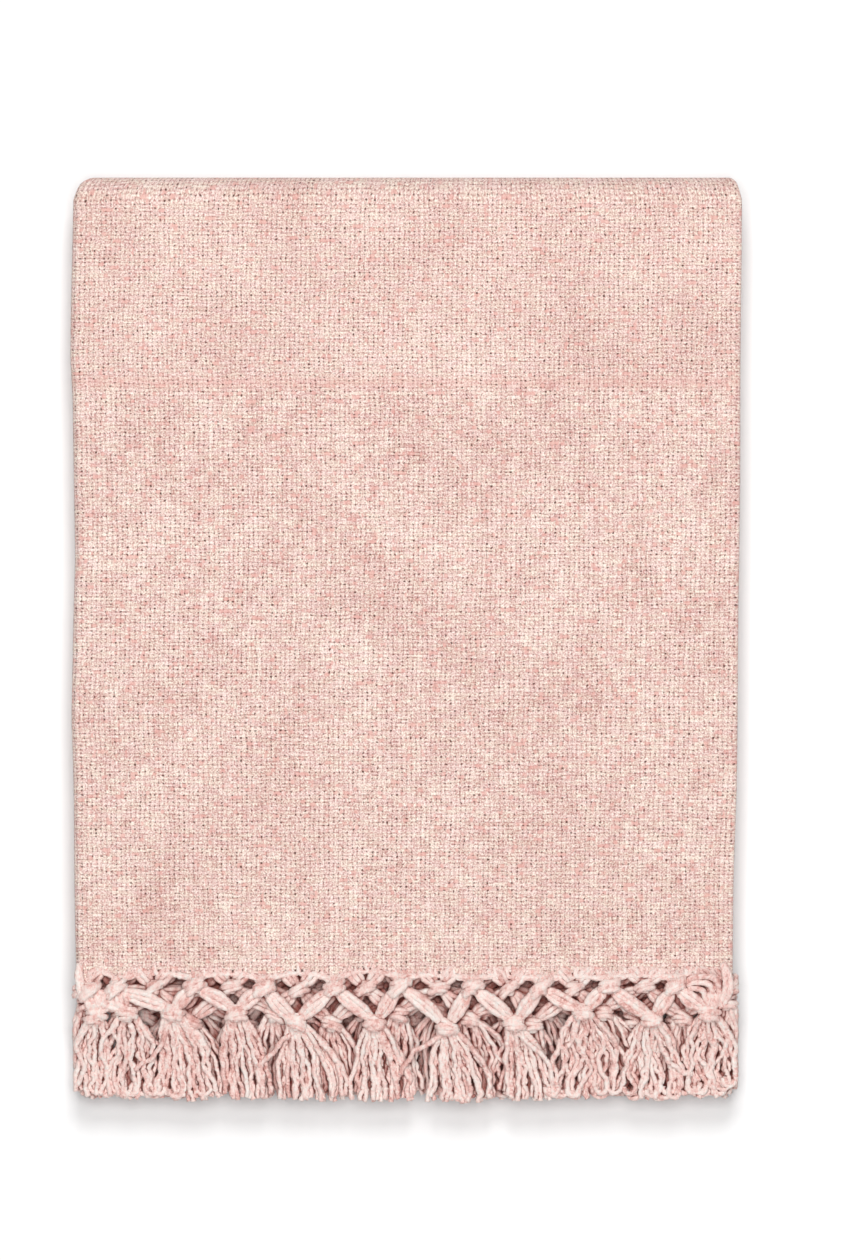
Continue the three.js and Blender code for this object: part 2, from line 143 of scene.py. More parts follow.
# %% [markdown]
# ## The stack of sheets
# The sizes are those of the real throw, in millimetres. The panel lies in four strips, one above the
# other, and each strip is four sheets thick, so sixteen sheets lie on each other. Lengths along the throw
# are counted from its near edge, and heights of sheets from the middle of their strip.

# %% Sizes of the stack, in millimetres
SHEET = 2.1
SHEET_GAP = 0.4
STRIP_GAP = 1.0
STACK_LENGTH = 375.8
NEAR_FOLD_IN = 3.0
SIDE_LEFT, SIDE_RIGHT = -158.0, 158.0

SHEET_PITCH = SHEET + SHEET_GAP
STRIP = 4 * SHEET + 3 * SHEET_GAP
STRIP_PITCH = STRIP + STRIP_GAP
SHEET_HEIGHTS = [step * SHEET_PITCH for step in (1.5, 0.5, -0.5, -1.5)]
BOTTOM, LOWER, UPPER, TOP = [STRIP / 2 + step * STRIP_PITCH for step in range(4)]
near_edge = cloth_high[1] / MM - STACK_LENGTH
print("strip", round(STRIP, 1), "mm thick, near edge of the cloth at y", round(near_edge, 1), "mm")

# %% [markdown]
# ## The sides of the stack
# No side of a folded throw is straight. This table gives the outline as seen from above. The strips under
# the top one stay in a little, and the corners at the far fold are rounded.

# %% Outline of the sides
SIDES = np.array([
    # along, left, right
    (0, -156.8, 155.7),
    (40, -157.5, 156.1),
    (80, -158.2, 157.1),
    (118, -159.4, 157.6),
    (156, -158.0, 158.5),
    (194, -156.7, 159.3),
    (232, -157.6, 159.5),
    (270, -158.2, 159.5),
    (290, -159.4, 159.5),
    (330, -159.2, 159.5),
    (376, -158.6, 159.4),
])
STRIP_INSETS = (0.5, 1.3, 0.9, 0.0)
CORNER_LEFT, CORNER_RIGHT = 6.7, 4.4
x_shift = cloth_low[0] / MM - SIDES[:, 1].min()
print("widest", (SIDES[:, 2] - SIDES[:, 1]).max(), "mm")

# %% [markdown]
# ## The front row of tassels
# The front row follows the photo, tassel by tassel. A tassel has a first knot at x1, out1 and a second one
# at x2, out2, where out is the distance in front of the cloth's near edge. Its strands end around tip, by
# spread to each side and at reach, and curl says how curly they are. The crown is how far out the
# gathered warps lie halfway to the next tassel.

# %% Tassels of the front row
TASSEL_COLUMNS = ("crown", "x1", "out1", "x2", "out2", "tip", "spread", "reach", "curl")
FRONT_TASSELS = [dict(zip(TASSEL_COLUMNS, row)) for row in [
    (5.6, -150.4, 11.2, -147.4, 23.6, -149.6, 8.2, 62.6, 0.5),
    (4.4, -138.1, 10.2, -132.4, 22.1, -130.6, 12.6, 63.6, 0.8),
    (4.6, -100.1, 9.0, -111.0, 22.1, -103.4, 14.6, 64.4, 0.2),
    (4.3, -67.3, 10.2, -80.6, 22.4, -75.6, 12.6, 64.0, 0.1),
    (3.4, -34.0, 10.2, -52.0, 26.6, -43.6, 15.6, 65.0, 0.1),
    (5.2, -2.6, 9.0, -14.5, 27.2, -9.6, 15.2, 65.2, 0.1),
    (5.8, 31.6, 9.7, 19.7, 29.2, 25.8, 15.6, 65.6, 0.1),
    (6.0, 64.9, 9.7, 52.0, 27.2, 59.4, 11.0, 64.6, 0.0),
    (5.4, 96.7, 9.3, 84.4, 21.8, 87.6, 15.0, 63.8, 1.0),
    (5.6, 128.1, 9.3, 117.2, 25.2, 118.6, 13.6, 64.2, 0.8),
    (5.6, 147.6, 10.6, 144.3, 22.4, 145.4, 13.4, 62.8, 0.9),
]]
print("front tassels", len(FRONT_TASSELS))

# %% [markdown]
# ## Lines that the folds follow
# A real throw is folded flat, so its model can start flat too: a grid of the panel's own size, with more
# lines where a fold will come. Each point of the grid knows how far it is across and along the panel, and
# a fold is only a rule that moves it. Lines give that rule, and they are chained from straight parts and
# arcs, each with its own number of steps.

# %% Straight parts and arcs
def arc(cx, cy, radius, start, end, steps):
    angles = np.linspace(math.radians(start), math.radians(end), steps + 1)
    return np.stack([cx + radius * np.cos(angles), cy + radius * np.sin(angles)], axis=1)


def straight(start, end, steps):
    return np.linspace(np.array(start, float), np.array(end, float), steps + 1)


def chained(parts):
    """One line of points from parts that meet, without the doubled points."""
    line = [parts[0]]
    for part in parts[1:]:
        line.append(part[1:])
    return np.concatenate(line)


def lengths_along(line):
    steps = np.linalg.norm(np.diff(line, axis=0), axis=1)
    return np.concatenate([[0.0], np.cumsum(steps)])


def normals_of(line):
    """Unit normals, to the left of the direction of travel."""
    ahead = np.gradient(line, axis=0)
    ahead /= np.linalg.norm(ahead, axis=1)[:, None]
    return np.stack([-ahead[:, 1], ahead[:, 0]], axis=1)


print("half circle of radius 1:", round(lengths_along(arc(0, 0, 1, 0, 180, 32))[-1], 2), "long")

# %% [markdown]
# ## Across the panel
# Folded in half twice across its width, the panel shows four sheets in section. The top sheet runs from a
# fold on the right to the soft outer fold on the left, comes back as the lowest sheet, and ends there in a
# selvage. The other half lies between them. The selvages stay in a little from the right side.

# %% Section of a strip
TOP_COLUMNS = 132
INNER_SELVAGE_IN, LOWEST_SELVAGE_IN = 4.2, 2.4
first, second, third, fourth = SHEET_HEIGHTS
left_centre = SIDE_LEFT + first + SHEET / 2
right_radius = SHEET_PITCH / 2
right_centre = SIDE_RIGHT - right_radius - SHEET / 2
section = chained([
    straight((SIDE_RIGHT - INNER_SELVAGE_IN, third), (left_centre, third), 12),
    arc(left_centre, 0, second, -90, -270, 8),
    straight((left_centre, second), (right_centre, second), 12),
    arc(right_centre, (first + second) / 2, right_radius, -90, 90, 8),
    straight((right_centre, first), (left_centre, first), TOP_COLUMNS),
    arc(left_centre, 0, first, 90, 270, 14),
    straight((left_centre, fourth), (SIDE_RIGHT - LOWEST_SELVAGE_IN, fourth), 16),
])
across_flat = lengths_along(section)
print("flat panel", round(across_flat[-1]), "mm wide,", len(section), "points across")

# %% [markdown]
# ## Along the panel
# The strip then goes back and forth: out along the top, down round the far fold, back at the bottom, round
# the near fold inside the stack, and so on until it ends just under the first end. The rows of points lie
# closer together near both fringes, where the edge is drawn into scallops.

# %% Route of the strip
FOLD_CORNER = 8.0
DENSE_END = 60.0
DENSE_ROWS = 21
INNER_FOLD = STRIP_PITCH / 2
FAR_LINE = STACK_LENGTH - STRIP / 2
FOLD_CENTRE = FAR_LINE - (TOP - BOTTOM) / 2
NEAR_CENTRE = NEAR_FOLD_IN + INNER_FOLD + STRIP / 2


def end_rows(height):
    """Rows from the cloth's edge inwards, close together at first."""
    dense = np.linspace(0, 1, DENSE_ROWS) ** 1.4 * DENSE_END
    return np.stack([dense, np.full(DENSE_ROWS, height)], axis=1)


corner_line = FAR_LINE - FOLD_CORNER
route = chained([
    end_rows(TOP),
    straight((DENSE_END, TOP), (corner_line, TOP), 50),
    arc(corner_line, TOP - FOLD_CORNER, FOLD_CORNER, 90, 0, 10),
    straight((FAR_LINE, TOP - FOLD_CORNER), (FAR_LINE, BOTTOM + FOLD_CORNER), 4),
    arc(corner_line, BOTTOM + FOLD_CORNER, FOLD_CORNER, 0, -90, 8),
    straight((corner_line, BOTTOM), (NEAR_CENTRE, BOTTOM), 14),
    arc(NEAR_CENTRE, (BOTTOM + LOWER) / 2, INNER_FOLD, -90, -270, 12),
    straight((NEAR_CENTRE, LOWER), (FOLD_CENTRE, LOWER), 14),
    arc(FOLD_CENTRE, (LOWER + UPPER) / 2, INNER_FOLD, -90, 90, 12),
    straight((FOLD_CENTRE, UPPER), (DENSE_END, UPPER), 14),
    end_rows(UPPER)[::-1],
])
route_normals = normals_of(route)
along_flat = lengths_along(route)
print("flat panel", round(along_flat[-1]), "mm long,", len(route), "points along")

# %% [markdown]
# ## How uneven it lies
# No hand folds a throw quite straight. A sum of a few slow waves moves things by a millimetre or less,
# the same way in every run, because its seed is fixed.

# %% Slow waves for unevenness
def wander(a, b, seed):
    """A smooth wandering value between about -1 and 1 over two directions."""
    picker = np.random.default_rng(seed)
    total = 0
    for _ in range(4):
        fa, fb = picker.uniform(0.4, 1.6, 2)
        phase_a, phase_b = picker.uniform(0, 2 * math.pi, 2)
        total = total + np.sin(fa * a + phase_a) * np.sin(fb * b + phase_b)
    return total / 2


def smooth_step(value, low, high):
    share = np.clip((value - low) / (high - low), 0, 1)
    return share * share * (3 - 2 * share)


def corner_round(plan_y, radius):
    """How far a side draws in where the far fold's corner is rounded."""
    reach = np.clip((plan_y - (STACK_LENGTH - radius)) / radius, 0, 0.98)
    return radius * (1 - np.sqrt(1 - reach ** 2))


print("a slow wave at five places", np.round(wander(np.linspace(0, 5, 5), 1.0, 8), 2))

# %% [markdown]
# ## How the fringe hangs
# Each sheet that ends at the near side has its own row of tassels: the four sheets of the top strip and
# the four of the strip below it. The rows leave their sheets at different heights, droop, and come to lie
# on each other, the lowest on the floor. One table gives the share of the fall at each distance out.

# %% Heights of the eight rows
DROOP = np.array([
    # out, share of the fall
    (0, 0.0), (3, 0.0), (10, 0.06), (20, 0.22), (30, 0.49), (40, 0.75), (50, 0.92), (58, 0.985), (66, 1.0),
])
END_PITCH = 3.6
STRAND_DEPTH = 2.0
ROOT_HEIGHTS = [strip + height for strip in (TOP, UPPER) for height in SHEET_HEIGHTS]
ROWS = len(ROOT_HEIGHTS)
END_HEIGHTS = [STRAND_DEPTH / 2 + below * END_PITCH for below in range(ROWS - 1, -1, -1)]


def row_height(row, out):
    share = np.interp(out, DROOP[:, 0], DROOP[:, 1])
    return ROOT_HEIGHTS[row] + (END_HEIGHTS[row] - ROOT_HEIGHTS[row]) * share


print("front row from", round(row_height(0, 0), 1), "mm down to", round(row_height(0, 66), 1), "mm")

# %% [markdown]
# ## Rows behind the front one
# The seven other rows have the same make. Their first knots lie between those of the front row, each row
# by another share of the way, so that no gap goes right through the stack. What is left to chance is drawn
# from a fixed seed. A row ends in a slim tassel at each side.

# %% Tassels of the rows behind
TASSEL_PITCH = 32.4
ROW_SHIFTS = (0, 0.5, 0.05, 0.55, 0.22, 0.74, 0.37, 0.87)
HIDDEN_CROWN = 3.5
HIDDEN_FROM, HIDDEN_TO = -153, 136
RIGHT_FIRST_KNOTS = [147.0, 153.0]
SIDE_SECOND_KNOTS = (-151.0, 152.5)


def hidden_row(row):
    picker = np.random.default_rng(100 + row)
    front_knots = np.array([tassel["x1"] for tassel in FRONT_TASSELS[1:]])
    before = np.concatenate([[front_knots[0] - TASSEL_PITCH], front_knots])
    after = np.concatenate([front_knots, [front_knots[-1] + TASSEL_PITCH]])
    first_knots = before + ROW_SHIFTS[row] * (after - before) + picker.uniform(-1.5, 1.5, len(before))
    first_knots = [x1 for x1 in first_knots if HIDDEN_FROM < x1 < HIDDEN_TO] + RIGHT_FIRST_KNOTS
    tassels = []
    for number, x1 in enumerate(first_knots):
        at_side = number in (0, len(first_knots) - 1)
        x2 = x1 - TASSEL_PITCH / 2 + picker.uniform(-4, 4)
        if at_side:
            x2 = SIDE_SECOND_KNOTS[0] if number == 0 else SIDE_SECOND_KNOTS[1]
        tassels.append(dict(
            crown=HIDDEN_CROWN,
            x1=x1,
            out1=picker.uniform(9, 11.5),
            x2=x2,
            out2=17 if at_side else picker.uniform(21, 28),
            tip=x2 + picker.uniform(-1, 1) * (1 if at_side else 5),
            spread=7 if at_side else picker.uniform(14, 17),
            reach=picker.uniform(60.5, 64),
            curl=0.9 if at_side else picker.choice([0.0, 0.2, 0.8]),
        ))
    return tassels


tassel_rows = [FRONT_TASSELS] + [hidden_row(row) for row in range(1, ROWS)]
print("tassels", sum(len(tassels) for tassels in tassel_rows))

# %% [markdown]
# ## The scalloped edge
# Where a first knot pulls the warps together, the last wefts are drawn down with them, so the edge hangs
# in scallops: furthest out at the knots and least far halfway between them. Only the front sheet shows
# this, and the hidden ones end straight.

# %% Edge of each sheet
RIM_FOOT = -1.0
ARCH_POWER = 2.1
WARPS_SHOW, WARPS_SHOW_AT_KNOT = 2.9, 0.2
HIDDEN_EDGE = -1.5
DEEP_EDGE = 4.0


def rim_of(row, x):
    """How far out the gathered warps reach at x, from first knot to first knot, and its share of the fall."""
    tassels = tassel_rows[row]
    x1 = [tassel["x1"] for tassel in tassels]
    knots = np.array([x1[0] - TASSEL_PITCH, *x1, x1[-1] + TASSEL_PITCH])
    crowns = np.array([tassels[0]["crown"]] + [tassel["crown"] for tassel in tassels])
    feet = np.array([crowns[0]] + [tassel["out1"] + RIM_FOOT for tassel in tassels] + [crowns[-1]])
    after = np.clip(np.searchsorted(knots, x), 1, len(knots) - 1)
    share = (x - knots[after - 1]) / (knots[after] - knots[after - 1])
    foot = np.where(share < 0.5, feet[after - 1], feet[after])
    fall = np.abs(2 * share - 1) ** ARCH_POWER
    return crowns[after - 1] + (foot - crowns[after - 1]) * fall, fall


def edge_out(row, x):
    """The cloth's own edge, a little inside the front row's rim. The hidden sheets end straight."""
    if row > 0:
        return np.full(np.shape(x), HIDDEN_EDGE if row == 1 else DEEP_EDGE)
    rim, fall = rim_of(row, x)
    return rim - WARPS_SHOW - WARPS_SHOW_AT_KNOT * fall


front_edge = edge_out(0, np.linspace(-130, 130, 200))
print("front edge from", round(front_edge.min(), 1), "to", round(front_edge.max(), 1), "mm out")

# %% [markdown]
# ## The flat panel
# The panel starts as a grid primitive with one column for each point of the section and one row for each
# point of the route. Every corner of the grid is then looked up in the two lines by its column and row.

# %% Add the flat grid
bpy.ops.object.select_all(action="DESELECT")
columns, rows = section.shape[0], route.shape[0]
bpy.ops.mesh.primitive_grid_add(x_subdivisions=columns - 1, y_subdivisions=rows - 1, size=1)
cloth = bpy.context.object
cloth.name = "cloth_panel"
flat = np.empty(len(cloth.data.vertices) * 3)
cloth.data.vertices.foreach_get("co", flat)
flat = flat.reshape(-1, 3)
i = np.rint((flat[:, 0] + 0.5) * (columns - 1)).astype(int)
j = np.rint((flat[:, 1] + 0.5) * (rows - 1)).astype(int)
print("grid", columns, "by", rows)

# %% [markdown]
# ## Folding it
# A point's place across the panel gives its x and its height in the strip, and its place along the panel
# gives where the strip is. The sides are fitted to the outline, both ends are drawn out to their scallops,
# and the slow waves make the selvages, the sides and the top a little uneven.

# %% Fold the panel
EDGE_PULL = 20.0
FAR_TAPER = 1.6
SELVAGE_WAVE, SIDE_WAVE, TOP_WAVE = 1.3, 0.5, 0.3
SELVAGE_COLUMNS = 3

x, h = section[i].T
y, z = route[j].T
ny, nz = route_normals[j].T
strip_number = np.interp(z, (BOTTOM, LOWER, UPPER, TOP), (0, 1, 2, 3))
in_far_fold = (strip_number < 2.99) * (strip_number > 0.01)
inset = np.interp(strip_number, range(4), STRIP_INSETS)
inset = inset + FAR_TAPER * smooth_step(y, corner_line, FAR_LINE) * in_far_fold
plan_y = y + h * ny
left = np.interp(y, SIDES[:, 0], SIDES[:, 1]) + inset + corner_round(plan_y, CORNER_LEFT)
right = np.interp(y, SIDES[:, 0], SIDES[:, 2]) - inset - corner_round(plan_y, CORNER_RIGHT)
share = (x - SIDE_LEFT) / (SIDE_RIGHT - SIDE_LEFT)
folded_x = x + (left - SIDE_LEFT) * (1 - share) + (right - SIDE_RIGHT) * share

layer = np.clip(np.rint(1.5 - h / SHEET_PITCH), 0, 3).astype(int)
top_end = smooth_step(along_flat[j], EDGE_PULL, 0)
low_end = smooth_step(along_flat[-1] - along_flat[j], EDGE_PULL, 0)
stretch = np.zeros(len(x))
for row in range(ROWS):
    end, owner = (top_end, row) if row < 4 else (low_end, ROWS - 1 - row)
    stretch = np.where(layer == owner, stretch + (end ** 3) * edge_out(row, folded_x), stretch)

at_selvage = (i < SELVAGE_COLUMNS) | (i >= columns - SELVAGE_COLUMNS)
selvage = np.where(at_selvage, SELVAGE_WAVE * wander(along_flat[j] / 38, h, 5), 0)
side_wave = SIDE_WAVE * wander(along_flat[j] / 30, 0 * h, 8)
rise = TOP_WAVE * wander(folded_x / 34, y / 40, 3) * smooth_step(z, UPPER, TOP)
folded = np.stack([
    folded_x + x_shift + selvage + side_wave,
    near_edge + y + h * ny - stretch,
    z + h * nz + rise,
], axis=1)
cloth.data.vertices.foreach_set("co", (folded * MM).ravel())
print("folded to", np.round(folded.max(axis=0) - folded.min(axis=0), 1), "mm")

# %% [markdown]
# ## Flat coordinates and thickness
# The grid keeps its flat coordinates in its UV map, in metres, so the weave stays as woven wherever the
# cloth turns. The sheet is then given its thickness by a Solidify modifier, half to each side.

# %% Keep the flat coordinates and thicken the sheet
corner_vertex = np.empty(len(cloth.data.loops), int)
cloth.data.loops.foreach_get("vertex_index", corner_vertex)
sewn_along = along_flat[j] + stretch * np.where(top_end > 0, -1, 1)
uv = np.stack([across_flat[i[corner_vertex]], sewn_along[corner_vertex]], axis=1) * MM
cloth.data.uv_layers[0].data.foreach_set("uv", uv.ravel())
cloth.data.update()

solidify = cloth.modifiers.new("thickness", "SOLIDIFY")
solidify.thickness = SHEET * MM
solidify.offset = 0
bpy.ops.object.modifier_apply(modifier=solidify.name)
bpy.ops.object.shade_smooth()
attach(cloth, "root")
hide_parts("cloth")
print("cloth triangles", sum(len(face.vertices) - 2 for face in cloth.data.polygons))

# %% [markdown]
# ## The line of a yarn
# A chenille yarn is a soft round cord with a short pile. There are over three thousand yarns and turns of
# yarn here, so a function draws each one through a few chosen points, as a spline that passes through all
# of them. Its radius varies a little along the way.

# %% A yarn through chosen points
YARN = 1.22


def smooth_route(points, step):
    """Points of a smooth curve through the given ones, about one step apart."""
    points = np.array(points, float)
    ghost_start = 2 * points[0] - points[1]
    ghost_end = 2 * points[-1] - points[-2]
    known = np.concatenate([[ghost_start], points, [ghost_end]])
    pieces = []
    for k in range(1, len(known) - 2):
        p0, p1, p2, p3 = known[k - 1:k + 3]
        count = max(1, int(round(np.linalg.norm(p2 - p1) / step)))
        t = np.linspace(0, 1, count, endpoint=False)[:, None]
        bend = 2 * p0 - 5 * p1 + 4 * p2 - p3
        twist = 3 * p1 - p0 - 3 * p2 + p3
        pieces.append(0.5 * (2 * p1 + (p2 - p0) * t + bend * t ** 2 + twist * t ** 3))
    pieces.append(points[-1:])
    return np.concatenate(pieces)


def lumpy(count, radius, picker, unevenness=0.07):
    """Radii along a yarn, a little uneven."""
    return radius * (1 + picker.normal(0, unevenness, count).clip(-2 * unevenness, 2 * unevenness))


print("a yarn is", 2 * YARN, "mm thick")

# %% [markdown]
# ## From lines to yarns
# By hand a yarn is drawn as a curve with a round bevel and turned into a mesh. Here all yarns of a piece
# are the splines of one curve. An open yarn has caps at its ends, and a turn of a knot closes on itself.

# %% Curves with a round bevel
def curves_of(name, yarns, sides):
    """A curve object with one round spline for each yarn, given in millimetres."""
    data = bpy.data.curves.new(name, "CURVE")
    data.dimensions = "3D"
    data.bevel_depth = MM
    data.bevel_resolution = sides // 2 - 2
    data.use_fill_caps = True
    for points, radii, ring in yarns:
        spline = data.splines.new("POLY")
        spline.points.add(len(points) - 1)
        placed = np.ones((len(points), 4))
        placed[:, 0] = (points[:, 0] + x_shift) * MM
        placed[:, 1] = (near_edge - points[:, 1]) * MM
        placed[:, 2] = points[:, 2] * MM
        spline.points.foreach_set("co", placed.ravel())
        spline.points.foreach_set("radius", radii)
        spline.use_cyclic_u = ring
    made = bpy.data.objects.new(name, data)
    bpy.context.collection.objects.link(made)
    return made


print("bevel", MM, "m times the radius of each point")

# %% [markdown]
# ## The pile
# Chenille is never smooth. A Displace modifier with a fine cloud texture pushes the surface in and out, and
# how far each point moved is kept as an attribute, because painted shade makes the pile darker where it is
# pressed in.
# A second attribute keeps one tint for each yarn. Blender writes the caps of all open yarns before the
# bodies, in reverse order, so the tints are laid out in that order too.

# %% Yarns to a mesh with pile
LUMP_SIZE = 0.8
LUMP_HEIGHT = 0.95
lump_texture = bpy.data.textures.new("pile_lumps", "CLOUDS")
lump_texture.noise_scale = LUMP_SIZE * MM
lump_texture.noise_depth = 2


def point_values(mesh, name, size):
    values = np.empty(len(mesh.vertices) * size)
    mesh.vertices.foreach_get(name, values)
    return values.reshape(-1, size)


def store(mesh, name, values):
    attribute = mesh.attributes.new(name, "FLOAT", "POINT")
    attribute.data.foreach_set("value", values.astype(np.float32))


def yarns_to_mesh(name, yarns, sides, picker):
    """One mesh of many yarns, with the pile's lumps, its depth and each yarn's own tint."""
    piece = curves_of(name, yarns, sides)
    bpy.ops.object.select_all(action="DESELECT")
    piece.select_set(True)
    bpy.context.view_layer.objects.active = piece
    bpy.ops.object.convert(target="MESH")
    piece = bpy.context.view_layer.objects.active
    tints = picker.uniform(0, 1, len(yarns))
    capped = np.array([not ring for _, _, ring in yarns])
    caps_first = np.repeat(tints[capped][::-1], 2 * sides)
    bodies = np.repeat(tints, [len(points) * sides for points, _, _ in yarns])
    store(piece.data, "yarn_tint", np.concatenate([caps_first, bodies]))
    bpy.ops.object.mode_set(mode="EDIT")
    bpy.ops.mesh.select_all(action="SELECT")
    bpy.ops.mesh.remove_doubles(threshold=0.001 * MM)
    bpy.ops.object.mode_set(mode="OBJECT")
    before = point_values(piece.data, "co", 3)
    outward = point_values(piece.data, "normal", 3)
    lumps = piece.modifiers.new("lumps", "DISPLACE")
    lumps.texture = lump_texture
    lumps.texture_coords = "LOCAL"
    lumps.strength = LUMP_HEIGHT * MM
    bpy.ops.object.modifier_apply(modifier=lumps.name)
    moved = ((point_values(piece.data, "co", 3) - before) * outward).sum(axis=1)
    store(piece.data, "pile_height", moved / (LUMP_HEIGHT * MM) + 0.5)
    bpy.ops.object.shade_smooth()
    triangles = sum(len(face.vertices) - 2 for face in piece.data.polygons)
    print(name, "yarns", len(yarns), "triangles", triangles)
    return piece


print("pile lumps", LUMP_SIZE, "mm wide")

# %% [markdown]
# ## Knots, lattice and tassels
# A maker takes the warps of one scallop and ties them, splits the bundle in half, ties each half to its
# neighbour's, and lets the ends hang. The same four steps make each tassel here. The first is a fan of
# warps: they run along the rim of the scallop, side by side, and down into the first knot.

# %% A fan of warps
FAN_RADIUS = 0.98 * YARN
FAN_STARTS_IN = 2.5
# places along the rim, as shares of the way from the knot
FAN_SHARES = (1.0, 0.8, 0.6, 0.4, 0.22)
# how far inside the rim the outermost warp lies, and how far the others lie inside it
FAN_INSIDE, FAN_WIDTH = 1.1, 3.0
FAN_HEIGHT, KNOT_ENTRY_HEIGHT, FAN_CLIMB = 0.3, 1.4, 0.9
# how far the two outermost fans reach, and how far they stay in from the sides
END_FAN_LEFT, END_FAN_RIGHT = 15, 14
LEFT_MARGIN, RIGHT_MARGIN = 3, 4


def place(row, x, out, above):
    """A point at x and out, a little above the middle of its row."""
    return (x, out, row_height(row, out) + above)


def fan(number, picker, count, step):
    """Warps of the front row, gathered along its rim and down into the first knot."""
    x1, out1 = FRONT_TASSELS[number]["x1"], FRONT_TASSELS[number]["out1"]
    before = max(x1 - END_FAN_LEFT, SIDE_LEFT + LEFT_MARGIN)
    after = min(x1 + END_FAN_RIGHT, SIDE_RIGHT - RIGHT_MARGIN)
    if number > 0:
        before = (FRONT_TASSELS[number - 1]["x1"] + x1) / 2
    if number < len(FRONT_TASSELS) - 1:
        after = (FRONT_TASSELS[number + 1]["x1"] + x1) / 2
    yarns = []
    for x in np.linspace(before + 0.4, after - 0.4, count):
        reach = x - x1
        started = abs(reach) / (0.5 * TASSEL_PITCH)
        above = FAN_HEIGHT + picker.uniform(-0.3, 0.4)
        route_points = [place(0, x, float(edge_out(0, x)) - FAN_STARTS_IN, 0.0)]
        for share in FAN_SHARES:
            inside = FAN_INSIDE + FAN_WIDTH * max(0.0, 1 - started) * (1 - started * share)
            inside += picker.uniform(-0.2, 0.2)
            out = min(float(rim_of(0, x1 + reach * share)[0]) - inside, out1 - 0.8)
            route_points.append(place(0, x1 + reach * share, out, above + FAN_CLIMB * (1 - share)))
        route_points.append(place(0, x1 + 0.1 * reach, out1, KNOT_ENTRY_HEIGHT))
        points = smooth_route(route_points, step)
        yarns.append((points, lumpy(len(points), FAN_RADIUS, picker), False))
    return yarns


first_knot_gaps = np.diff([tassel["x1"] for tassel in FRONT_TASSELS])
print("first knots are", round(first_knot_gaps.min(), 1), "to", round(first_knot_gaps.max(), 1), "mm apart")

# %% [markdown]
# ## A knot
# A knot shows as a few fat turns of yarn side by side round the bundle. Each turn is a closed ring, tilted
# and shifted a little, and a thick core fills the middle so that nothing shows through.

# %% Turns of a knot
FIRST_KNOT = dict(across=4.3, along=3.2, high=2.9, slant=-0.42)
SECOND_KNOT = dict(across=4.1, along=3.9, high=2.9, slant=0.1)
TURN_RADIUS = 1.5
TURN_SPREAD = 0.72
TURN_LEAN, TURN_SWAY, TURN_BEND = 1.3, 0.7, 0.4
SMALLER_AT_ENDS = 0.16
KNOT_LIFT = 1.6


def knot(row, x, out, shape, picker, loops, step):
    across, along, high = shape["across"], shape["along"], shape["high"]
    middle = row_height(row, out) + KNOT_LIFT
    slant = (shape["slant"] + picker.uniform(-0.18, 0.18)) * across
    yarns = []
    for turn in range(loops):
        off_middle = 2 * (turn + 0.5) / loops - 1
        lean = slant + picker.uniform(-TURN_LEAN, TURN_LEAN)
        sway = picker.uniform(-TURN_SWAY, TURN_SWAY)
        shrink = picker.uniform(0.95, 1.06) - SMALLER_AT_ENDS * off_middle ** 2
        angles = np.arange(0, 2 * math.pi, step / across)
        tilt = lean * np.cos(angles)
        bend = TURN_BEND * np.sin(2 * angles + turn)
        points = np.stack([
            x + sway + across * shrink * np.cos(angles),
            out + TURN_SPREAD * along * off_middle + tilt + bend,
            middle + high * shrink * np.sin(angles),
        ], axis=1)
        yarns.append((points, lumpy(len(points), picker.uniform(0.95, 1.1) * TURN_RADIUS, picker), True))
    core = smooth_route([(x, out - along, middle), (x, out, middle + 0.4), (x, out + along, middle)], step)
    yarns.append((core, np.full(len(core), high), False))
    return yarns


print("a first knot is", 2 * FIRST_KNOT["across"], "mm wide without its yarn")

# %% [markdown]
# ## A bundle
# Between the knots the yarns lie side by side in a soft, slightly swollen bundle that narrows at both
# ends. One layer lies on another that has a yarn less. The rows far under the front one hardly show, so
# they are drawn with fewer and fatter yarns.

# %% Yarns of a bundle
BUNDLE_PITCH = 2.35
BUNDLE_SHAPE = [
    # share of the way, share of the width, share of the height
    (0.0, 0.3, 0.4), (0.2, 0.75, 1.0), (0.5, 1.0, 1.25), (0.8, 0.75, 1.0), (1.0, 0.3, 0.4),
]
UPPER_LAYER, LOWER_LAYER = 2.3, 0.4
SWELL = 0.16
FIRST_DEEP_ROW = 4
DEEP_STOUTNESS = 1.35


def stoutness(row):
    """Yarns far under the front row are drawn fewer and fatter."""
    return 1.0 if row < FIRST_DEEP_ROW else DEEP_STOUTNESS


def bundle(row, line, picker, width, step, bow=0.0):
    middle = smooth_route(line, 0.5)
    along = lengths_along(middle) / lengths_along(middle)[-1]
    sideways = normals_of(middle)
    yarns = []
    for layer in (0, 1):
        for k in range(width - layer):
            offset = (k - (width - layer - 1) / 2) * BUNDLE_PITCH
            route_points = []
            for share, squeeze, lift in BUNDLE_SHAPE:
                sway = offset * squeeze + bow * math.sin(math.pi * share) + picker.uniform(-0.25, 0.25)
                aside = [np.interp(share, along, sideways[:, axis]) for axis in (0, 1)]
                x = np.interp(share, along, middle[:, 0]) + sway * aside[0]
                out = np.interp(share, along, middle[:, 1]) + sway * aside[1]
                above = (UPPER_LAYER * lift if layer == 0 else LOWER_LAYER) + picker.uniform(-0.2, 0.2)
                route_points.append(place(row, x, out, above))
            points = smooth_route(route_points, step)
            swell = 1 + SWELL * np.sin(math.pi * np.linspace(0, 1, len(points)))
            radius = picker.uniform(1.08, 1.2) * stoutness(row) * YARN
            yarns.append((points, swell * lumpy(len(points), radius, picker, 0.05), False))
    return yarns


print("a bundle of three is", round(3 * BUNDLE_PITCH, 1), "mm wide")

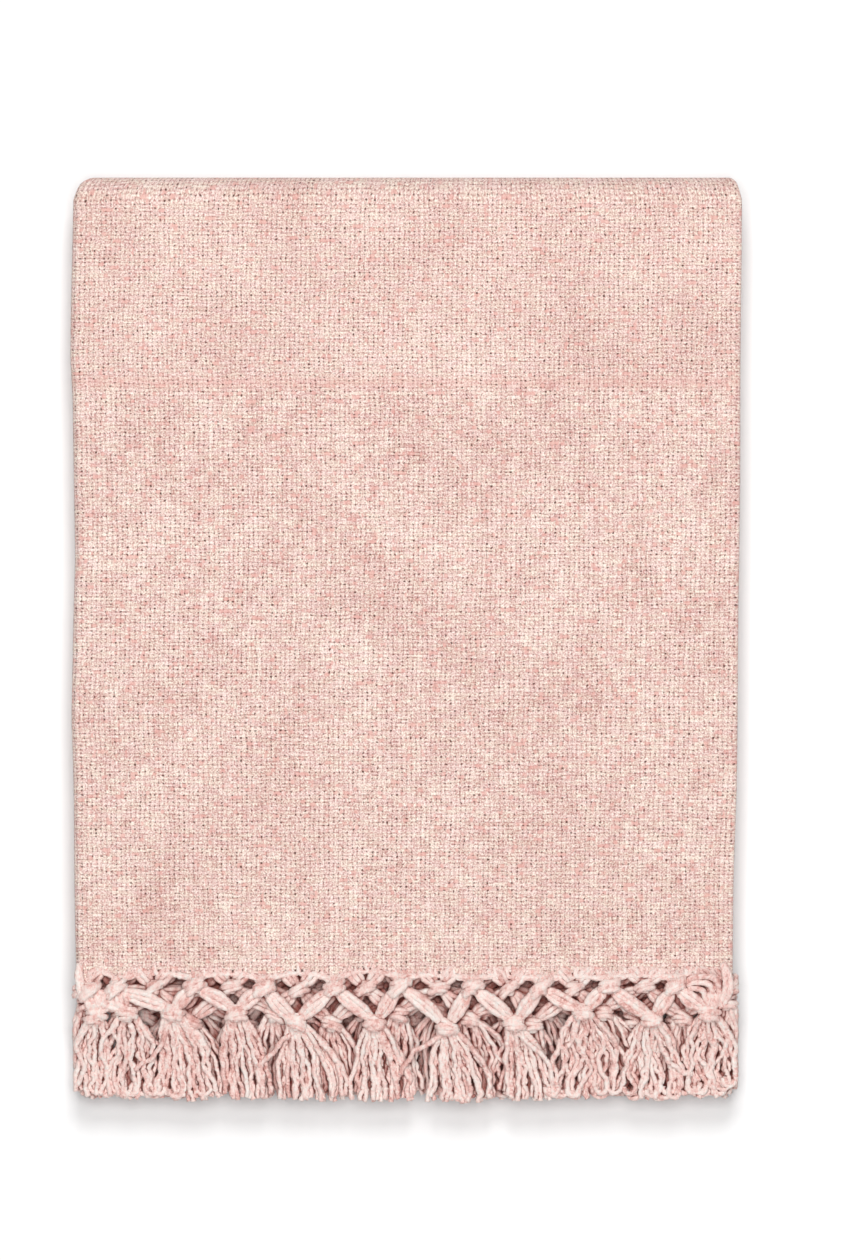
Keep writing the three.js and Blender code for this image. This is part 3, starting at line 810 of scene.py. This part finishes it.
# %% [markdown]
# ## Hanging strands
# Below the second knot the ends spread and hang side by side, in two layers. Each strand has a slow wave
# and a quick one. Some of the curly ones turn back at the end. At both sides of the throw the strands are
# a little shorter.

# %% Strands of a tassel
NECK = 3.9
STRAND_POINTS = 17
SLOW_WAVE, SLOW_TURNS = (0.3, 1.3), (0.8, 1.8)
QUICK_WAVE, QUICK_TURNS = (0.15, 0.55), (3.5, 6.5)
# the outer strands of a tassel end a little further in, and those beside the throw's sides too
ROUNDED_END = 1.6
SIDE_ZONE, SIDE_ROUNDING = 150, 0.07
# least height above the middle of a row, more for the fatter yarns
LOWEST, DEEP_LOWEST = 0.6, 1.4
CURL_ANGLES = np.radians((40, 80, 120, 160, 195))


def curl_back(row, last, picker):
    """The end of a strand that curls round to one side."""
    radius = picker.uniform(2.4, 3.6)
    x, out, height = last
    hand = picker.choice([-1, 1])
    if abs(x) > SIDE_RIGHT - 2.2 * radius:
        hand = -np.sign(x)
    above = height - row_height(row, out)
    turned = []
    for angle in CURL_ANGLES:
        aside = hand * radius * (1 - math.cos(angle))
        turned.append(place(row, x + aside, out + radius * math.sin(angle), above + 0.2))
    return turned


def strands(row, tassel, picker, count, step):
    x2, out2, tip, spread, reach, curl = [tassel[key] for key in TASSEL_COLUMNS[3:]]
    lowest = LOWEST if row < FIRST_DEEP_ROW else DEEP_LOWEST
    yarns = []
    for k in range(count):
        layer = k % 2
        side = 2 * (k + 0.5) / count - 1
        neck = x2 + NECK * side
        foot = tip + spread * (side + picker.uniform(-0.16, 0.16))
        start = out2 + 1.0
        end = reach - ROUNDED_END * side ** 2 + picker.uniform(-1.8, 0.9)
        end = end - SIDE_ROUNDING * max(0, abs(foot) - SIDE_ZONE) ** 2
        slow = picker.uniform(*SLOW_WAVE) * (1 + 1.7 * curl)
        quick = picker.uniform(*QUICK_WAVE) * (1 + 0.5 * curl)
        slow_turns, quick_turns = picker.uniform(*SLOW_TURNS), picker.uniform(*QUICK_TURNS)
        slow_phase, quick_phase, rise_phase = picker.uniform(0, 2 * math.pi, 3)
        curled = picker.uniform() < 0.35 * curl
        route_points = []
        for share in np.linspace(0, 0.9 if curled else 1, STRAND_POINTS):
            spreading = 1 - (1 - share) ** (1.8 + 2.2 * curl)
            drift = slow * math.sin(2 * math.pi * slow_turns * share + slow_phase)
            drift += quick * math.sin(2 * math.pi * quick_turns * share + quick_phase)
            x = neck + (foot - neck) * spreading + drift * min(1, 3 * share)
            x = min(max(x, SIDE_LEFT + 0.6), SIDE_RIGHT - 0.4)
            out = start + (end - start) * share
            above = UPPER_LAYER * (1 - layer) * (1 - 0.2 * share) + 0.7 * math.sin(4 * share + rise_phase)
            route_points.append(place(row, x, out, max(above, lowest)))
        if curled:
            route_points += curl_back(row, route_points[-1], picker)
        points = smooth_route(route_points, step)
        growth = smooth_step(np.linspace(0, 1, len(points)), -0.25, 0.2)
        radius = picker.uniform(0.94, 1.1) * stoutness(row) * YARN
        radii = lumpy(len(points), radius, picker, 0.12) * (0.66 + 0.34 * growth)
        yarns.append((points, radii, False))
    return yarns


print("strands come out to", max(tassel["reach"] for tassel in FRONT_TASSELS), "mm")

# %% [markdown]
# ## The lattice of one row
# Fans, first knots, half bundles and second knots make the open lattice between the cloth and the
# tassels. A row behind the front one has two small bundles in place of each fan, as little of it shows.

# %% Lattice of a row
PLAIN_FAN_START, PLAIN_FAN_BEND = 0.26 * TASSEL_PITCH, 0.14 * TASSEL_PITCH
# where a half bundle comes out of its first knot and goes into its second: aside and along
OUT_OF_KNOT, INTO_KNOT = (1.6, 1.6), (1.4, 2.0)


def plain_fan(row, tassel, picker, width, step):
    """Two small bundles from a hidden edge to the first knot."""
    x1, out1 = tassel["x1"], tassel["out1"]
    yarns = []
    for side in (-1, 1):
        start = (x1 + side * PLAIN_FAN_START, HIDDEN_EDGE + 2.0)
        bend = (x1 + side * PLAIN_FAN_BEND, 0.5 * out1)
        end = (x1 + side * 1.6, out1 - 1.8)
        if abs(start[0]) < SIDE_RIGHT - RIGHT_MARGIN:
            yarns += bundle(row, [start, bend, end], picker, width, step)
    return yarns


def half_bundle(row, above, below, picker, width, step):
    """Half of the yarns of a first knot, on their way to a second knot."""
    side = np.sign(below["x2"] - above["x1"])
    start = (above["x1"] + OUT_OF_KNOT[0] * side, above["out1"] + OUT_OF_KNOT[1])
    end = (below["x2"] - INTO_KNOT[0] * side, below["out2"] - INTO_KNOT[1])
    return bundle(row, [start, end], picker, width, step, bow=picker.uniform(-0.8, 0.8))


def lattice(row, picker, warps, loops, width, step):
    tassels = tassel_rows[row]
    yarns = []
    for number, tassel in enumerate(tassels):
        if row == 0:
            yarns += fan(number, picker, warps, step)
        else:
            yarns += plain_fan(row, tassel, picker, warps, step)
        if row > 0 or number < len(tassels) - 1:
            yarns += knot(row, tassel["x1"], tassel["out1"], FIRST_KNOT, picker, loops, step)
        yarns += knot(row, tassel["x2"], tassel["out2"], SECOND_KNOT, picker, loops, step)
        for above in (tassels[number - 1 if number else 1], tassel):
            yarns += half_bundle(row, above, tassel, picker, width, step)
    return yarns


print("half bundles in the front row", 2 * len(FRONT_TASSELS))

# %% [markdown]
# ## Loops and strays of the front row
# At both sides of the photo the last yarns don't go to a first knot: they hang in loops from the edge to the
# last second knots. Here and there a strand has swung over its neighbours. Each is placed one by one, by a
# few points of its line.

# %% Loops at the sides and strands that strayed
SIDE_LOOPS = [
    # yarns side by side, points of the line
    (2, [(-154.6, -1.5), (-154.9, 4.0), (-154.6, 10.0), (-151.0, 15.6), (-144.0, 18.6), (-136.5, 20.4)]),
    (1, [(134.5, 10.6), (138.4, 10.4), (141.4, 11.4), (142.6, 14.4), (142.8, 18.2)]),
    (1, [(133.5, 9.0), (138.5, 7.4), (143.4, 8.0), (146.2, 11.6), (145.6, 16.0), (143.8, 19.4)]),
    (1, [(132.5, 7.6), (138.5, 4.6), (145.4, 4.8), (149.4, 9.8), (148.6, 15.6), (145.4, 19.8)]),
    (2, [(150.8, -1.5), (152.6, 4.0), (153.2, 10.0), (152.0, 15.6), (148.6, 19.6)]),
]
STRAYS = [
    # at the knot, at the turn, at the tip
    [(-111.0, 25), (-118.4, 41), (-129.0, 50)],
    [(-52.0, 30), (-63.0, 41), (-70.5, 48)],
    [(19.7, 32), (4.6, 41), (-2.4, 52)],
    [(52.0, 31), (66.0, 44), (70.5, 57)],
    [(117.2, 29), (126.0, 46), (136.0, 52)],
]
STRAY_RISES = (2.4, 4.2, 3.0)


def stray(corners, picker, step):
    """A wavy strand that lies over its neighbours."""
    line = smooth_route(corners, 4.0)
    line[1:-1] += picker.uniform(-0.7, 0.7, (len(line) - 2, 2))
    rises = np.interp(np.linspace(0, 1, len(line)), (0, 0.5, 1), STRAY_RISES)
    points = smooth_route([place(0, x, out, rise) for (x, out), rise in zip(line, rises)], step)
    return (points, lumpy(len(points), 1.08 * YARN, picker, 0.12), False)


print("loops", len(SIDE_LOOPS), "strays", len(STRAYS))

# %% [markdown]
# ## The front row
# The front row is drawn with the finest steps. Its lattice and its strands are two pieces, so that each
# stays light enough. A wider tassel has more strands, about 1.7 for each millimetre of its spread.

# %% Build the front row
FRONT_STEP, FRONT_STRAND_STEP = 0.95, 0.88
STRANDS_PER_MM = 1.7

front_picker = np.random.default_rng(500)
front_lattice = lattice(0, front_picker, warps=13, loops=4, width=3, step=FRONT_STEP)
for width, line in SIDE_LOOPS:
    front_lattice += bundle(0, line, front_picker, width, FRONT_STEP)
front_strands = [stray(corners, front_picker, 0.9) for corners in STRAYS]
for tassel in FRONT_TASSELS:
    count = int(round(STRANDS_PER_MM * tassel["spread"]))
    front_strands += strands(0, tassel, front_picker, count, FRONT_STRAND_STEP)
print("front row", len(front_lattice), "yarns in the lattice,", len(front_strands), "strands")

# %% [markdown]
# ## The rows behind
# The second row fills the gaps between the front tassels, so its strands are a piece of their own, drawn
# nearly as finely. The deeper a row lies, the fewer and coarser its yarns can be.

# %% Build the other seven rows
second_picker = np.random.default_rng(505)
second_strands = []
for tassel in tassel_rows[1]:
    second_strands += strands(1, tassel, second_picker, count=20, step=1.4)

behind_picker = np.random.default_rng(510)
behind = []
for row in (1, 2, 3):
    behind += lattice(row, behind_picker, warps=3, loops=3, width=3, step=2.0)
    if row > 1:
        for tassel in tassel_rows[row]:
            behind += strands(row, tassel, behind_picker, count=12, step=2.2)

under_picker = np.random.default_rng(520)
under = []
for row in range(FIRST_DEEP_ROW, ROWS):
    under += lattice(row, under_picker, warps=2, loops=3, width=2, step=2.8)
    for tassel in tassel_rows[row]:
        under += strands(row, tassel, under_picker, count=11, step=3.0)
print("rows behind", len(second_strands) + len(behind), "yarns, rows under", len(under))

# %% [markdown]
# ## Turn them into pieces
# The four rows that belong to the top end of the panel take the place of the upper fringe of the packed
# model, and the four under them take the place of the lower one.

# %% Fringe pieces
fringe_lattice = yarns_to_mesh("fringe_front_lattice", front_lattice, 8, front_picker)
fringe_strands = yarns_to_mesh("fringe_front_strands", front_strands, 6, front_picker)
fringe_second = yarns_to_mesh("fringe_second_strands", second_strands, 6, second_picker)
fringe_behind = yarns_to_mesh("fringe_rows_behind", behind, 6, behind_picker)
fringe_under = yarns_to_mesh("fringe_rows_under", under, 6, under_picker)
fringes = [fringe_lattice, fringe_strands, fringe_second, fringe_behind, fringe_under]
for piece in fringes:
    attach(piece, "root")
for piece in fringes[:4]:
    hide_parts("fringe_upper")
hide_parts("fringe_lower")
print("fringe pieces", len(fringes))

# %% [markdown]
# ## Materials
# Chenille is a cut pile held by a thin core, so it has no gloss. It scatters light softly and looks
# lighter at a glancing angle, which is what sheen gives. The blush colour is a melange: fibres dyed light
# and deep are spun together, so the tint changes along each yarn every few millimetres. In Blender a
# colour is given in linear light, so the hex values of the shades are turned linear first.

# %% Colours and nodes
# the numbers by which a Mix node knows its two colours and its result
COLOUR_A, COLOUR_B, MIXED_COLOUR = 6, 7, 2
# a range that starts and ends gently
SMOOTH = dict(interpolation_type="SMOOTHSTEP")


def linear(code):
    """An sRGB hex colour turned linear."""
    channels = [int(code[k:k + 2], 16) / 255 for k in (1, 3, 5)]
    return tuple(c / 12.92 if c <= 0.04045 else ((c + 0.055) / 1.055) ** 2.4 for c in channels) + (1.0,)


def add(tree, kind, inputs, out=0, **settings):
    """Adds a node, sets it up, links or fills its inputs, and gives back one of its outputs."""
    made = tree.nodes.new("ShaderNode" + kind)
    for key, value in settings.items():
        setattr(made, key, value)
    for key, value in inputs.items():
        if isinstance(value, bpy.types.NodeSocket):
            tree.links.new(value, made.inputs[key])
        else:
            made.inputs[key].default_value = value
    return made.outputs[out]


print("blush", [round(c, 3) for c in linear("#E6CEC4")])

# %% [markdown]
# ## What all chenille has in common
# Both the cloth and the fringe are the same matt yarn. Several patterns are added up by weight into one
# share, and a row of shades from the deepest to the palest fibre turns that share into a colour.

# %% Matt chenille and its melange
def matt_chenille(name):
    """A material with no gloss and a little sheen, its nodes and its shader."""
    material = bpy.data.materials.new(name)
    material.use_nodes = True
    shader = material.node_tree.nodes["Principled BSDF"]
    shader.inputs["Roughness"].default_value = 0.95
    shader.inputs["IOR"].default_value = 1.45
    shader.inputs["Specular IOR Level"].default_value = 0.15
    shader.inputs["Sheen Weight"].default_value = 0.08
    shader.inputs["Sheen Roughness"].default_value = 0.5
    return material, material.node_tree, shader


def weighted(tree, start, parts):
    """Patterns added up by their weights."""
    total = start
    for part, weight in parts:
        total = add(tree, "Math", {0: part, 1: weight, 2: total}, operation="MULTIPLY_ADD")
    return total


def melange(tree, share, shades):
    """The colour of the spun fibres, from the deepest to the palest."""
    colour = add(tree, "ValToRGB", {"Fac": share})
    elements = colour.node.color_ramp.elements
    while len(elements) < len(shades):
        elements.new(0.5)
    for element, (position, code) in zip(elements, shades):
        element.position = position
        element.color = linear(code)
    return colour


print("matt chenille and its melange can be made")

# %% [markdown]
# ## Threads of the weave
# In a plain weave each weft goes over one warp and under the next. The shader finds the nearest warp and
# weft from the cloth's flat coordinates, and how far each point lies off their middles. A slow drift and a
# quick jitter keep the threads from lying quite straight.

# %% Where the threads lie
WARP_PITCH = 2.31
WEFT_PITCH = 1.81
SLOW_DRIFT = dict(per_mm=0.05, sizes=(2.6, 2.4, 0))
QUICK_JITTER = dict(per_mm=0.42, sizes=(0.9, 0.8, 0))


def uneven(tree, flat_mm, per_mm, sizes):
    """How the threads wander, by up to half the sizes each way."""
    cloud = add(tree, "TexNoise", {"Vector": flat_mm, "Scale": per_mm, "Detail": 2.0}, out="Color")
    centred = add(tree, "VectorMath", {0: cloud, 1: (0.5, 0.5, 0.5)}, operation="SUBTRACT")
    return add(tree, "VectorMath", {0: centred, 1: sizes}, operation="MULTIPLY")


def thread_at(tree, place_mm, pitch):
    """The number of the thread at a place, and how far off its middle the place is, from 0 to 1."""
    turns = add(tree, "Math", {0: place_mm, 1: pitch}, operation="DIVIDE")
    number = add(tree, "Math", {0: turns}, operation="FLOOR")
    doubled = add(tree, "Math", {0: turns, 1: 2.0, 2: 1.0}, operation="MULTIPLY_ADD")
    off_middle = add(tree, "Math", {0: doubled, 1: 1.0}, operation="PINGPONG")
    return number, off_middle


print("warps in the panel", round(across_flat[-1] / WARP_PITCH), "wefts", round(along_flat[-1] / WEFT_PITCH))

# %% [markdown]
# ## Pinholes
# The pile closes the gaps between the yarns, all but a pinhole at the corners where four crossings meet.
# No two pinholes are equally open, and a few are wide. Each is sunk deepest, and painted with its darkest
# shade, where it is furthest from the middles of both its threads.

# %% Pinholes between the threads
OPENNESS_PER_MM, WIDE_HOLES_PER_MM = 0.8, 0.62
LEAST_OPEN = 0.15


def gap(tree, offs, starts, ends):
    """Inside a gap: 1 far off the middles of both threads, 0 on them."""
    depth = 1.0
    for off, start, end in zip(offs, starts, ends):
        beside = add(tree, "MapRange", {"Value": off, "From Min": start, "From Max": end}, **SMOOTH)
        depth = add(tree, "Math", {0: depth, 1: beside}, operation="MULTIPLY")
    return depth


def pinholes(tree, flat_mm, offs):
    cloud = add(tree, "TexNoise", {"Vector": flat_mm, "Scale": OPENNESS_PER_MM, "Detail": 1.0})
    openness = add(tree, "MapRange", {"Value": cloud, "From Min": 0.46, "From Max": 0.66}, **SMOOTH)
    share_open = weighted(tree, LEAST_OPEN, [(openness, 1 - LEAST_OPEN)])
    small = gap(tree, offs, starts=(0.45, 0.35), ends=(1.0, 1.0))
    small = add(tree, "Math", {0: small, 1: share_open}, operation="MULTIPLY")
    rare_cloud = add(tree, "TexNoise", {"Vector": flat_mm, "Scale": WIDE_HOLES_PER_MM, "Detail": 0.0})
    rare = add(tree, "MapRange", {"Value": rare_cloud, "From Min": 0.66, "From Max": 0.74}, **SMOOTH)
    wide = gap(tree, offs, starts=(0.35, 0.2), ends=(0.8, 0.7))
    wide = add(tree, "Math", {0: wide, 1: rare}, operation="MULTIPLY")
    return add(tree, "Math", {0: small, 1: wide}, operation="MAXIMUM")


print("one pinhole for every", round(WARP_PITCH * WEFT_PITCH, 1), "square mm")

# %% [markdown]
# ## Tints of the cloth
# Each thread carries its own slow changes of tint, slower along a warp than along a weft. A fine speckle
# stands for the fibres, and soft tufts and patches run over many threads. At one place along the panel the
# weft comes from another cone of yarn, and beyond it the tints are calmer. Across the panel there, a reddish
# band is painted in as the shade of a slight crease.

# %% Tints of threads, fibres and patches
CONE_CHANGE = 279.0
# where the painted shade of the crease starts before the change and ends beyond it
BAND_BEFORE, BAND_BEYOND = 6.0, 3.0
CALMER = 0.4
# the step in the noise from one thread to the next, wide enough to make them differ
THREAD_STEP = 1.37
WARP_TINT_PER_MM, WEFT_TINT_PER_MM, STREAK_PER_MM = 0.05, 0.13, 0.16


def thread_tint(tree, number, along_mm, per_mm, seed):
    """Tint of one thread: slow changes along it, other ones on the next thread."""
    own = add(tree, "Math", {0: number, 1: THREAD_STEP}, operation="MULTIPLY")
    along = add(tree, "Math", {0: along_mm, 1: per_mm}, operation="MULTIPLY")
    spot = add(tree, "CombineXYZ", {0: own, 1: along, 2: seed})
    return add(tree, "TexNoise", {"Vector": spot, "Scale": 1.0, "Detail": 2.0, "Roughness": 0.6})


def second_cone_of(tree, flat_mm):
    """0 before the weft changes, 1 after it, and the band of painted crease shade between."""
    along_mm = add(tree, "SeparateXYZ", {0: flat_mm}, out="Y")
    start, end = CONE_CHANGE - BAND_BEFORE, CONE_CHANGE + BAND_BEYOND
    second_cone = add(tree, "MapRange", {"Value": along_mm, "From Min": start, "From Max": end}, **SMOOTH)
    first_cone = add(tree, "Math", {0: 1.0, 1: second_cone}, operation="SUBTRACT")
    both = add(tree, "Math", {0: second_cone, 1: first_cone}, operation="MULTIPLY")
    band = add(tree, "Math", {0: both, 1: 4.0}, operation="MULTIPLY")
    return second_cone, band


def crossing_tint(tree, weft_on_top, warp_tint, weft_tint, second_cone):
    """Tint where a warp and a weft cross, mostly that of the upper one."""
    weft_share = weighted(tree, 0.4, [(weft_on_top, 0.4)])
    tint = add(tree, "Mix", {"Factor": weft_share, 2: warp_tint, 3: weft_tint})
    calm = weighted(tree, 1.0, [(second_cone, -CALMER)])
    centred = add(tree, "Math", {0: tint, 1: 0.5}, operation="SUBTRACT")
    return add(tree, "Math", {0: centred, 1: calm, 2: 0.5}, operation="MULTIPLY_ADD")


print("the weft changes", CONE_CHANGE, "mm from the end of the panel")

# %% [markdown]
# ## Colour of the cloth
# The melange runs from a dusty rose to a warm white. Over it lie a slight change of dye, cooler or warmer,
# red streaks along some wefts, a reddish band of painted crease shade, and dark brown painted shade in the
# pinholes, where one sees down between the threads.

# %% Colour of the cloth, layer by layer
CLOTH_SHADES = [(0.36, "#BD8E86"), (0.43, "#D6B0A8"), (0.50, "#E6CEC4"), (0.56, "#F4E3D8"), (0.64, "#FFF6EC")]
COOL_DYE, WARM_DYE = "#FFF9FC", "#FEFFFB"
STREAK_RED = "#E0A49B"
PINHOLE_SHADE_COLOUR = "#5E3A30"
PINHOLE_SHADE_STRENGTH = 0.95


def cloth_colour(tree, share, cream_share, red_share, hole):
    """The melange, its slight change of dye, red streaks with the reddish band of painted crease shade, and
    painted shade in the pinholes.
    """
    dye = add(tree, "Mix", {"Factor": cream_share, COLOUR_A: linear(COOL_DYE), COLOUR_B: linear(WARM_DYE)},
              out=MIXED_COLOUR, data_type="RGBA")
    colour = melange(tree, share, CLOTH_SHADES)
    colour = add(tree, "Mix", {"Factor": 1.0, COLOUR_A: colour, COLOUR_B: dye},
                 out=MIXED_COLOUR, data_type="RGBA", blend_type="MULTIPLY")
    colour = add(tree, "Mix", {"Factor": red_share, COLOUR_A: colour, COLOUR_B: linear(STREAK_RED)},
                 out=MIXED_COLOUR, data_type="RGBA")
    # painted shade: the pinholes are darkened towards deep brown, standing for the shade down between the
    # threads
    pinhole_shade_share = add(tree, "Math", {0: hole, 1: PINHOLE_SHADE_STRENGTH}, operation="MULTIPLY")
    return add(tree, "Mix", {"Factor": pinhole_shade_share, COLOUR_A: colour, COLOUR_B: linear(PINHOLE_SHADE_COLOUR)},
               out=MIXED_COLOUR, data_type="RGBA")


print("cloth shades from", CLOTH_SHADES[0][1], "to", CLOTH_SHADES[-1][1])

# %% [markdown]
# ## Woven chenille
# The cloth's material puts the threads, the pinholes and the tints together. The sides of each crossing are
# painted with a little shade, darker than its crown, and the pinholes with dark shade. Tufts and changes of
# dye are drawn out along the weft, and a slight bump lifts the fibres and sinks the pinholes.

# %% Material of the cloth
FIBRES_PER_MM, TUFTS_PER_MM, PATCHES_PER_MM, CREAM_PER_MM = 1.25, 0.5, 0.022, 0.3
STREAK_STRENGTH, CREASE_SHADE_STRENGTH = 0.62, 0.28


def woven_chenille():
    # Plain-woven chenille, mottled blush: matt, soft crowns, small holes painted dark with shade where the
    # yarns cross
    material, tree, shader = matt_chenille("woven_blush_chenille")
    uv_map = add(tree, "UVMap", {}, uv_map=cloth.data.uv_layers[0].name)
    flat_mm = add(tree, "VectorMath", {0: uv_map, 1: (1000, 1000, 1000)}, operation="MULTIPLY")
    moved = flat_mm
    for wandering in (SLOW_DRIFT, QUICK_JITTER):
        moved = add(tree, "VectorMath", {0: moved, 1: uneven(tree, flat_mm, **wandering)}, operation="ADD")
    x_mm = add(tree, "SeparateXYZ", {0: moved}, out="X")
    y_mm = add(tree, "SeparateXYZ", {0: moved}, out="Y")
    warp_number, off_warp = thread_at(tree, x_mm, WARP_PITCH)
    weft_number, off_weft = thread_at(tree, y_mm, WEFT_PITCH)
    crossing = add(tree, "Math", {0: warp_number, 1: weft_number}, operation="ADD")
    weft_on_top = add(tree, "Math", {0: crossing, 1: 1.0}, operation="PINGPONG")
    hole = pinholes(tree, flat_mm, (off_warp, off_weft))
    warp_side = add(tree, "MapRange", {"Value": off_warp, "From Min": 0.5, "From Max": 1.0}, **SMOOTH)
    weft_side = add(tree, "MapRange", {"Value": off_weft, "From Min": 0.5, "From Max": 1.0}, **SMOOTH)
    side = add(tree, "Math", {0: warp_side, 1: weft_side}, operation="MAXIMUM")

    second_cone, band = second_cone_of(tree, flat_mm)
    warp_tint = thread_tint(tree, warp_number, y_mm, WARP_TINT_PER_MM, seed=0.0)
    weft_tint = thread_tint(tree, weft_number, x_mm, WEFT_TINT_PER_MM, seed=40.0)
    tint = crossing_tint(tree, weft_on_top, warp_tint, weft_tint, second_cone)
    fibre_cloud = {"Vector": flat_mm, "Scale": FIBRES_PER_MM, "Detail": 2.0, "Roughness": 0.6}
    fibre = add(tree, "TexNoise", fibre_cloud)
    drawn_out = add(tree, "VectorMath", {0: flat_mm, 1: (0.35, 1.0, 1.0)}, operation="MULTIPLY")
    tuft = add(tree, "TexNoise", {"Vector": drawn_out, "Scale": TUFTS_PER_MM, "Detail": 2.0})
    patch = add(tree, "TexNoise", {"Vector": flat_mm, "Scale": PATCHES_PER_MM, "Detail": 2.0})
    patterns = [(tint, 0.35), (fibre, 0.70), (tuft, 0.07), (patch, 0.10)]
    middle = 0.5 - sum(weight for _, weight in patterns) / 2
    # painted shade: the sides of each crossing are made a little darker in colour than its crown
    share = weighted(tree, middle, patterns + [(side, -0.04)])

    cream_cloud = {"Vector": drawn_out, "Scale": CREAM_PER_MM, "Detail": 2.0, "Roughness": 0.6}
    cream = add(tree, "TexNoise", cream_cloud)
    cream_share = add(tree, "MapRange", {"Value": cream, "From Min": 0.34, "From Max": 0.66}, **SMOOTH)
    streak_tint = thread_tint(tree, weft_number, x_mm, STREAK_PER_MM, seed=80.0)
    streak = add(tree, "MapRange", {"Value": streak_tint, "From Min": 0.58, "From Max": 0.65}, **SMOOTH)
    red_streak = add(tree, "Math", {0: streak, 1: STREAK_STRENGTH}, operation="MULTIPLY")
    # painted shade: a reddish band where a slight crease crosses the panel
    painted_crease_shade = add(tree, "Math", {0: band, 1: CREASE_SHADE_STRENGTH}, operation="MULTIPLY")
    red_share = add(tree, "Math", {0: red_streak, 1: painted_crease_shade}, operation="MAXIMUM")
    colour = cloth_colour(tree, share, cream_share, red_share, hole)
    tree.links.new(colour, shader.inputs["Base Color"])
    height = weighted(tree, 0.0, [(fibre, 0.9), (side, -0.35), (hole, -0.8)])
    bump = add(tree, "Bump", {"Height": height, "Strength": 0.8, "Distance": 0.7 * MM})
    tree.links.new(bump, shader.inputs["Normal"])
    return material


cloth.data.materials.clear()
cloth.data.materials.append(woven_chenille())
print("material of the cloth", cloth.data.materials[0].name)

# %% [markdown]
# ## Chenille yarn
# The fringe is the same yarn without the weave, so it shows more of the pile: a velvety, slightly ragged
# surface. Its tint changes from yarn to yarn and every few millimetres along each one, and shade is painted
# into it where the pile is pressed in. Between yarns that lie close, light bounces from pile to pile and
# takes on its colour, so the gaps look deep red; this shade is painted into the colour where an ambient
# occlusion node finds the gaps. The rows behind are more hidden, so their copies of the material have more
# painted shade, starting further out of the gaps.

# %% Material of the fringe
YARN_SHADES = [(0.32, "#CC8C82"), (0.41, "#EBB9B0"), (0.48, "#FCDAD2"), (0.55, "#FFEAE2"), (0.66, "#FFF8F2")]
TINT_PER_M, FIBRES_PER_M = (420, 200, 420), 1400.0
GAP_REACH = 6 * MM


def chenille_yarn(name, open_until, crevice_shade):
    # Loose chenille yarn, mottled blush: velvety and matt, with fine ragged pile, and shade painted into its
    # gaps and its pressed-in pile
    material, tree, shader = matt_chenille(name)
    place_m = add(tree, "TexCoord", {}, out="Object")
    stretched = add(tree, "Mapping", {"Vector": place_m, "Scale": TINT_PER_M})
    tint = add(tree, "TexNoise", {"Vector": stretched, "Scale": 1.0, "Detail": 2.0})
    fibre_cloud = {"Vector": place_m, "Scale": FIBRES_PER_M, "Detail": 3.0, "Roughness": 0.62}
    fibre = add(tree, "TexNoise", fibre_cloud)
    own_tint = add(tree, "Attribute", {}, out="Fac", attribute_name="yarn_tint")
    pile = add(tree, "Attribute", {}, out="Fac", attribute_name="pile_height")
    # painted shade: where the pile is pressed in, the low pile_height turns the melange deeper
    share = weighted(tree, 0.0, [(tint, 0.34), (fibre, 0.30), (own_tint, 0.10), (pile, 0.26)])
    yarn_colour = melange(tree, share, YARN_SHADES)
    # painted shade: where the ambient occlusion node finds close yarns, the colour is darkened towards the
    # crevice shade
    open_share = add(tree, "AmbientOcclusion", {"Distance": GAP_REACH}, out="AO", samples=4)
    ends = {"Value": open_share, "From Min": 0.06, "From Max": open_until}
    openness = add(tree, "MapRange", ends, **SMOOTH)
    shade = add(tree, "Mix", {"Factor": openness, COLOUR_A: linear(crevice_shade), COLOUR_B: linear("#FFFFFF")},
                out=MIXED_COLOUR, data_type="RGBA")
    colour = add(tree, "Mix", {"Factor": 1.0, COLOUR_A: yarn_colour, COLOUR_B: shade},
                 out=MIXED_COLOUR, data_type="RGBA", blend_type="MULTIPLY")
    tree.links.new(colour, shader.inputs["Base Color"])
    bump = add(tree, "Bump", {"Height": fibre, "Strength": 0.9, "Distance": 1.2 * MM})
    tree.links.new(bump, shader.inputs["Normal"])
    return material


# three copies of one yarn that differ only in painted shade: the deeper the row, the darker and wider its
# crevice shade
front_yarn = chenille_yarn("blush_chenille_yarn", 0.55, "#AC6658")
second_row_shaded_yarn = chenille_yarn("second_row_yarn_painted_shade", 0.85, "#A25E52")
deep_rows_shaded_yarn = chenille_yarn("deep_rows_yarn_painted_shade", 0.92, "#9C5A4E")
for piece, yarn in zip(fringes, (front_yarn, front_yarn, second_row_shaded_yarn, deep_rows_shaded_yarn, deep_rows_shaded_yarn)):
    piece.data.materials.clear()
    piece.data.materials.append(yarn)
    print(piece.name, "has", yarn.name)
